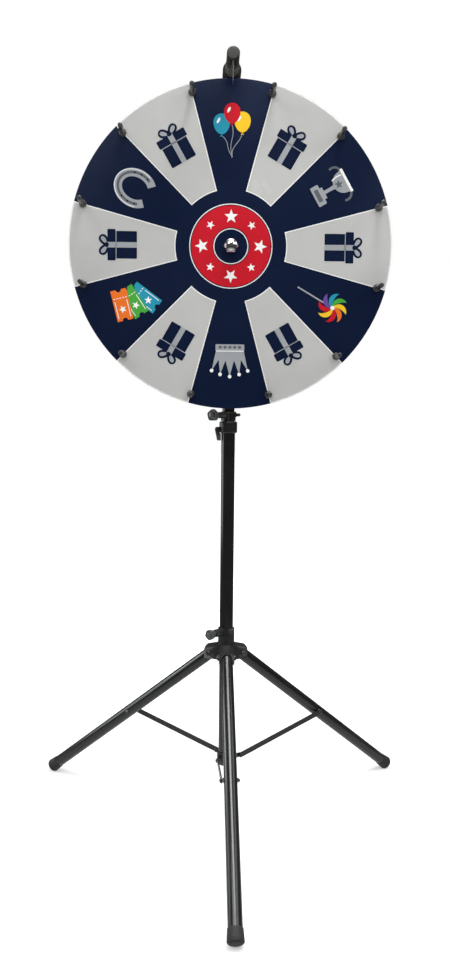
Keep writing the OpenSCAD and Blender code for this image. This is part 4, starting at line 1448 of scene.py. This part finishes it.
def add_lights():
    """Soft boxes round the object; some only light it, and one only shows in its gloss."""
    add_lamp("Front left", (-1.5, -2.0, 2.9), (0, 0, 1.1), (1.2, 1.4), 27)
    add_lamp("Front right", (1.9, -1.8, 2.6), (0, 0, 1.1), (1.2, 1.4), 17)
    add_lamp("Overhead", (0.16, -0.3, 3.0), (0.05, -0.1, 0.3), (0.5, 1.6), 52, glossy=False)
    add_lamp("Overhead strip", (0.06, -0.8, 3.0), (0.06, -0.79, 0.0), (1.3, 2.5), 115, diffuse=False)
    add_lamp("Upper left", (-2.1, 0.2, 1.5), (0, -0.1, 0.3), (1.6, 1.0), 6)
    add_lamp("Upper right", (1.8, -0.3, 1.95), (0, -0.2, 0.3), (1.5, 1.0), 10)
    add_lamp("Left window", (-2.2, 0.5, 0.65), (0, 0, 0.65), (1.7, 0.7), 10.5, (0.88, 1.0, 0.97))
    add_lamp("Left pane", (-2.2, 0.7, 1.19), (0, 0, 0.35), (0.6, 0.35), 6.0, (0.93, 1.0, 0.99))
    add_lamp("Back right", (1.7, 1.9, 2.2), (0, 0, 0.9), (1.2, 1.4), 20, glossy=False)


def add_world():
    """White for the camera, an even soft light for matt surfaces, and a dark room for reflections."""
    world = bpy.data.worlds.new("Studio")
    bpy.context.scene.world = world
    world.use_nodes = True
    tree = Tree(world.node_tree)
    path = tree.add("ShaderNodeLightPath").outputs
    way = tree.add("ShaderNodeTexCoord").outputs["Generated"]
    parts = tree.add("ShaderNodeSeparateXYZ", {0: way}).outputs
    reflected = tree.reflected(path)
    room = tree.math("MULTIPLY", tree.spread(parts["Y"], -0.9, 0.0, 0.07, 0.04), reflected)
    plain = tree.spread(reflected, 0.0, 1.0, 0.42, 0.0)
    level = tree.math("MAXIMUM", path["Is Camera Ray"], tree.math("ADD", plain, room))
    tree.fill(world.node_tree.nodes["Background"], {
        "Strength": level, "Color": (*stage_settings().background, 1.0)})


def add_floor():
    """A wide pale floor: matt, with some plain white added for the camera.

    The added share rises with the distance from the middle, so that the far floor fades into the background.
    In reflections the floor is pale near the object and dims with the distance, as in a room.
    """
    half = stage_settings().floor_w
    mesh = bpy.data.meshes.new("Floor")
    corners = [(-half, -half, 0), (half, -half, 0), (half, half, 0), (-half, half, 0)]
    mesh.from_pydata(corners, [], [(0, 1, 2, 3)])
    floor = bpy.data.objects.new("Floor", mesh)
    bpy.context.scene.collection.objects.link(floor)
    material, tree, shader = material_tree("Pale floor")
    place = tree.add("ShaderNodeTexCoord").outputs["Object"]
    path = tree.add("ShaderNodeLightPath").outputs
    far = tree.distance(place)
    tree.fill(shader, {
        "Base Color": tree.mix(tree.noise(place, 3.0), (0.78, 0.78, 0.78, 1.0), (0.84, 0.84, 0.84, 1.0)),
        "Roughness": 0.9,
        "Emission Color": WHITE,
        "Emission Strength": tree.math(
            "MULTIPLY", path["Is Camera Ray"], tree.spread(far, 0.5, 2.2, 0.3, 1.0))})
    dim = tree.add("ShaderNodeEmission", {"Strength": tree.spread(far, 0.3, 1.5, 0.85, 0.05)})
    choice = tree.add("ShaderNodeMixShader", {
        0: tree.reflected(path), 1: shader.outputs[0], 2: dim.outputs[0]})
    tree.fill(material.node_tree.nodes["Material Output"], {"Surface": choice.outputs[0]})
    mesh.materials.append(material)


class PRIZEWHEEL_OT_stage(bpy.types.Operator):
    """Make the camera, the lights, the background and the floor"""

    bl_idname = "prize_wheel.stage"
    bl_label = "Stage"

    def execute(self, context):
        bpy.context.scene.view_settings.view_transform = "Standard"
        add_camera()
        add_lights()
        add_world()
        add_floor()
        return {"FINISHED"}


# Add-on

OPERATORS = (
    PRIZEWHEEL_OT_stage,
    PRIZEWHEEL_OT_board,
    PRIZEWHEEL_OT_prints,
    PRIZEWHEEL_OT_pegs,
    PRIZEWHEEL_OT_screws,
    PRIZEWHEEL_OT_bearing,
    PRIZEWHEEL_OT_head,
    PRIZEWHEEL_OT_pointer,
    PRIZEWHEEL_OT_mast,
    PRIZEWHEEL_OT_socket,
    PRIZEWHEEL_OT_lock,
    PRIZEWHEEL_OT_hub,
    PRIZEWHEEL_OT_legs,
    PRIZEWHEEL_OT_braces,
)

SETTINGS = {
    "prize_wheel_print": PrizeWheelPrint,
    "prize_wheel_finish": PrizeWheelFinish,
    "prize_wheel_stage": PrizeWheelStage,
}


class PRIZEWHEEL_PT_panel(bpy.types.Panel):
    """Lists the wheel's pieces and their settings"""

    bl_label = "Prize Wheel"
    bl_idname = "PRIZEWHEEL_PT_panel"
    bl_space_type = "VIEW_3D"
    bl_region_type = "UI"
    bl_category = "Prize Wheel"

    def draw(self, context):
        for made in OPERATORS:
            self.layout.operator(made.bl_idname)
        for given in (print_settings(), finish_settings(), stage_settings()):
            box = self.layout.box()
            for key in given.__annotations__:
                box.prop(given, key)


def register():
    """Registers the settings, the operators and the panel."""
    for key, group in SETTINGS.items():
        bpy.utils.register_class(group)
        setattr(bpy.types.Scene, key, bpy.props.PointerProperty(type=group))
    for made in (*OPERATORS, PRIZEWHEEL_PT_panel):
        bpy.utils.register_class(made)


def unregister():
    """Takes the panel, the operators and the settings out again."""
    for made in (PRIZEWHEEL_PT_panel, *reversed(OPERATORS)):
        bpy.utils.unregister_class(made)
    for key, group in SETTINGS.items():
        delattr(bpy.types.Scene, key)
        bpy.utils.unregister_class(group)


def main():
    """Builds every piece in order."""
    register()
    for made in OPERATORS:
        getattr(bpy.ops.prize_wheel, made.bl_idname.split(".")[1])()
    bpy.context.view_layer.update()


if __name__ == "__main__":
    main()
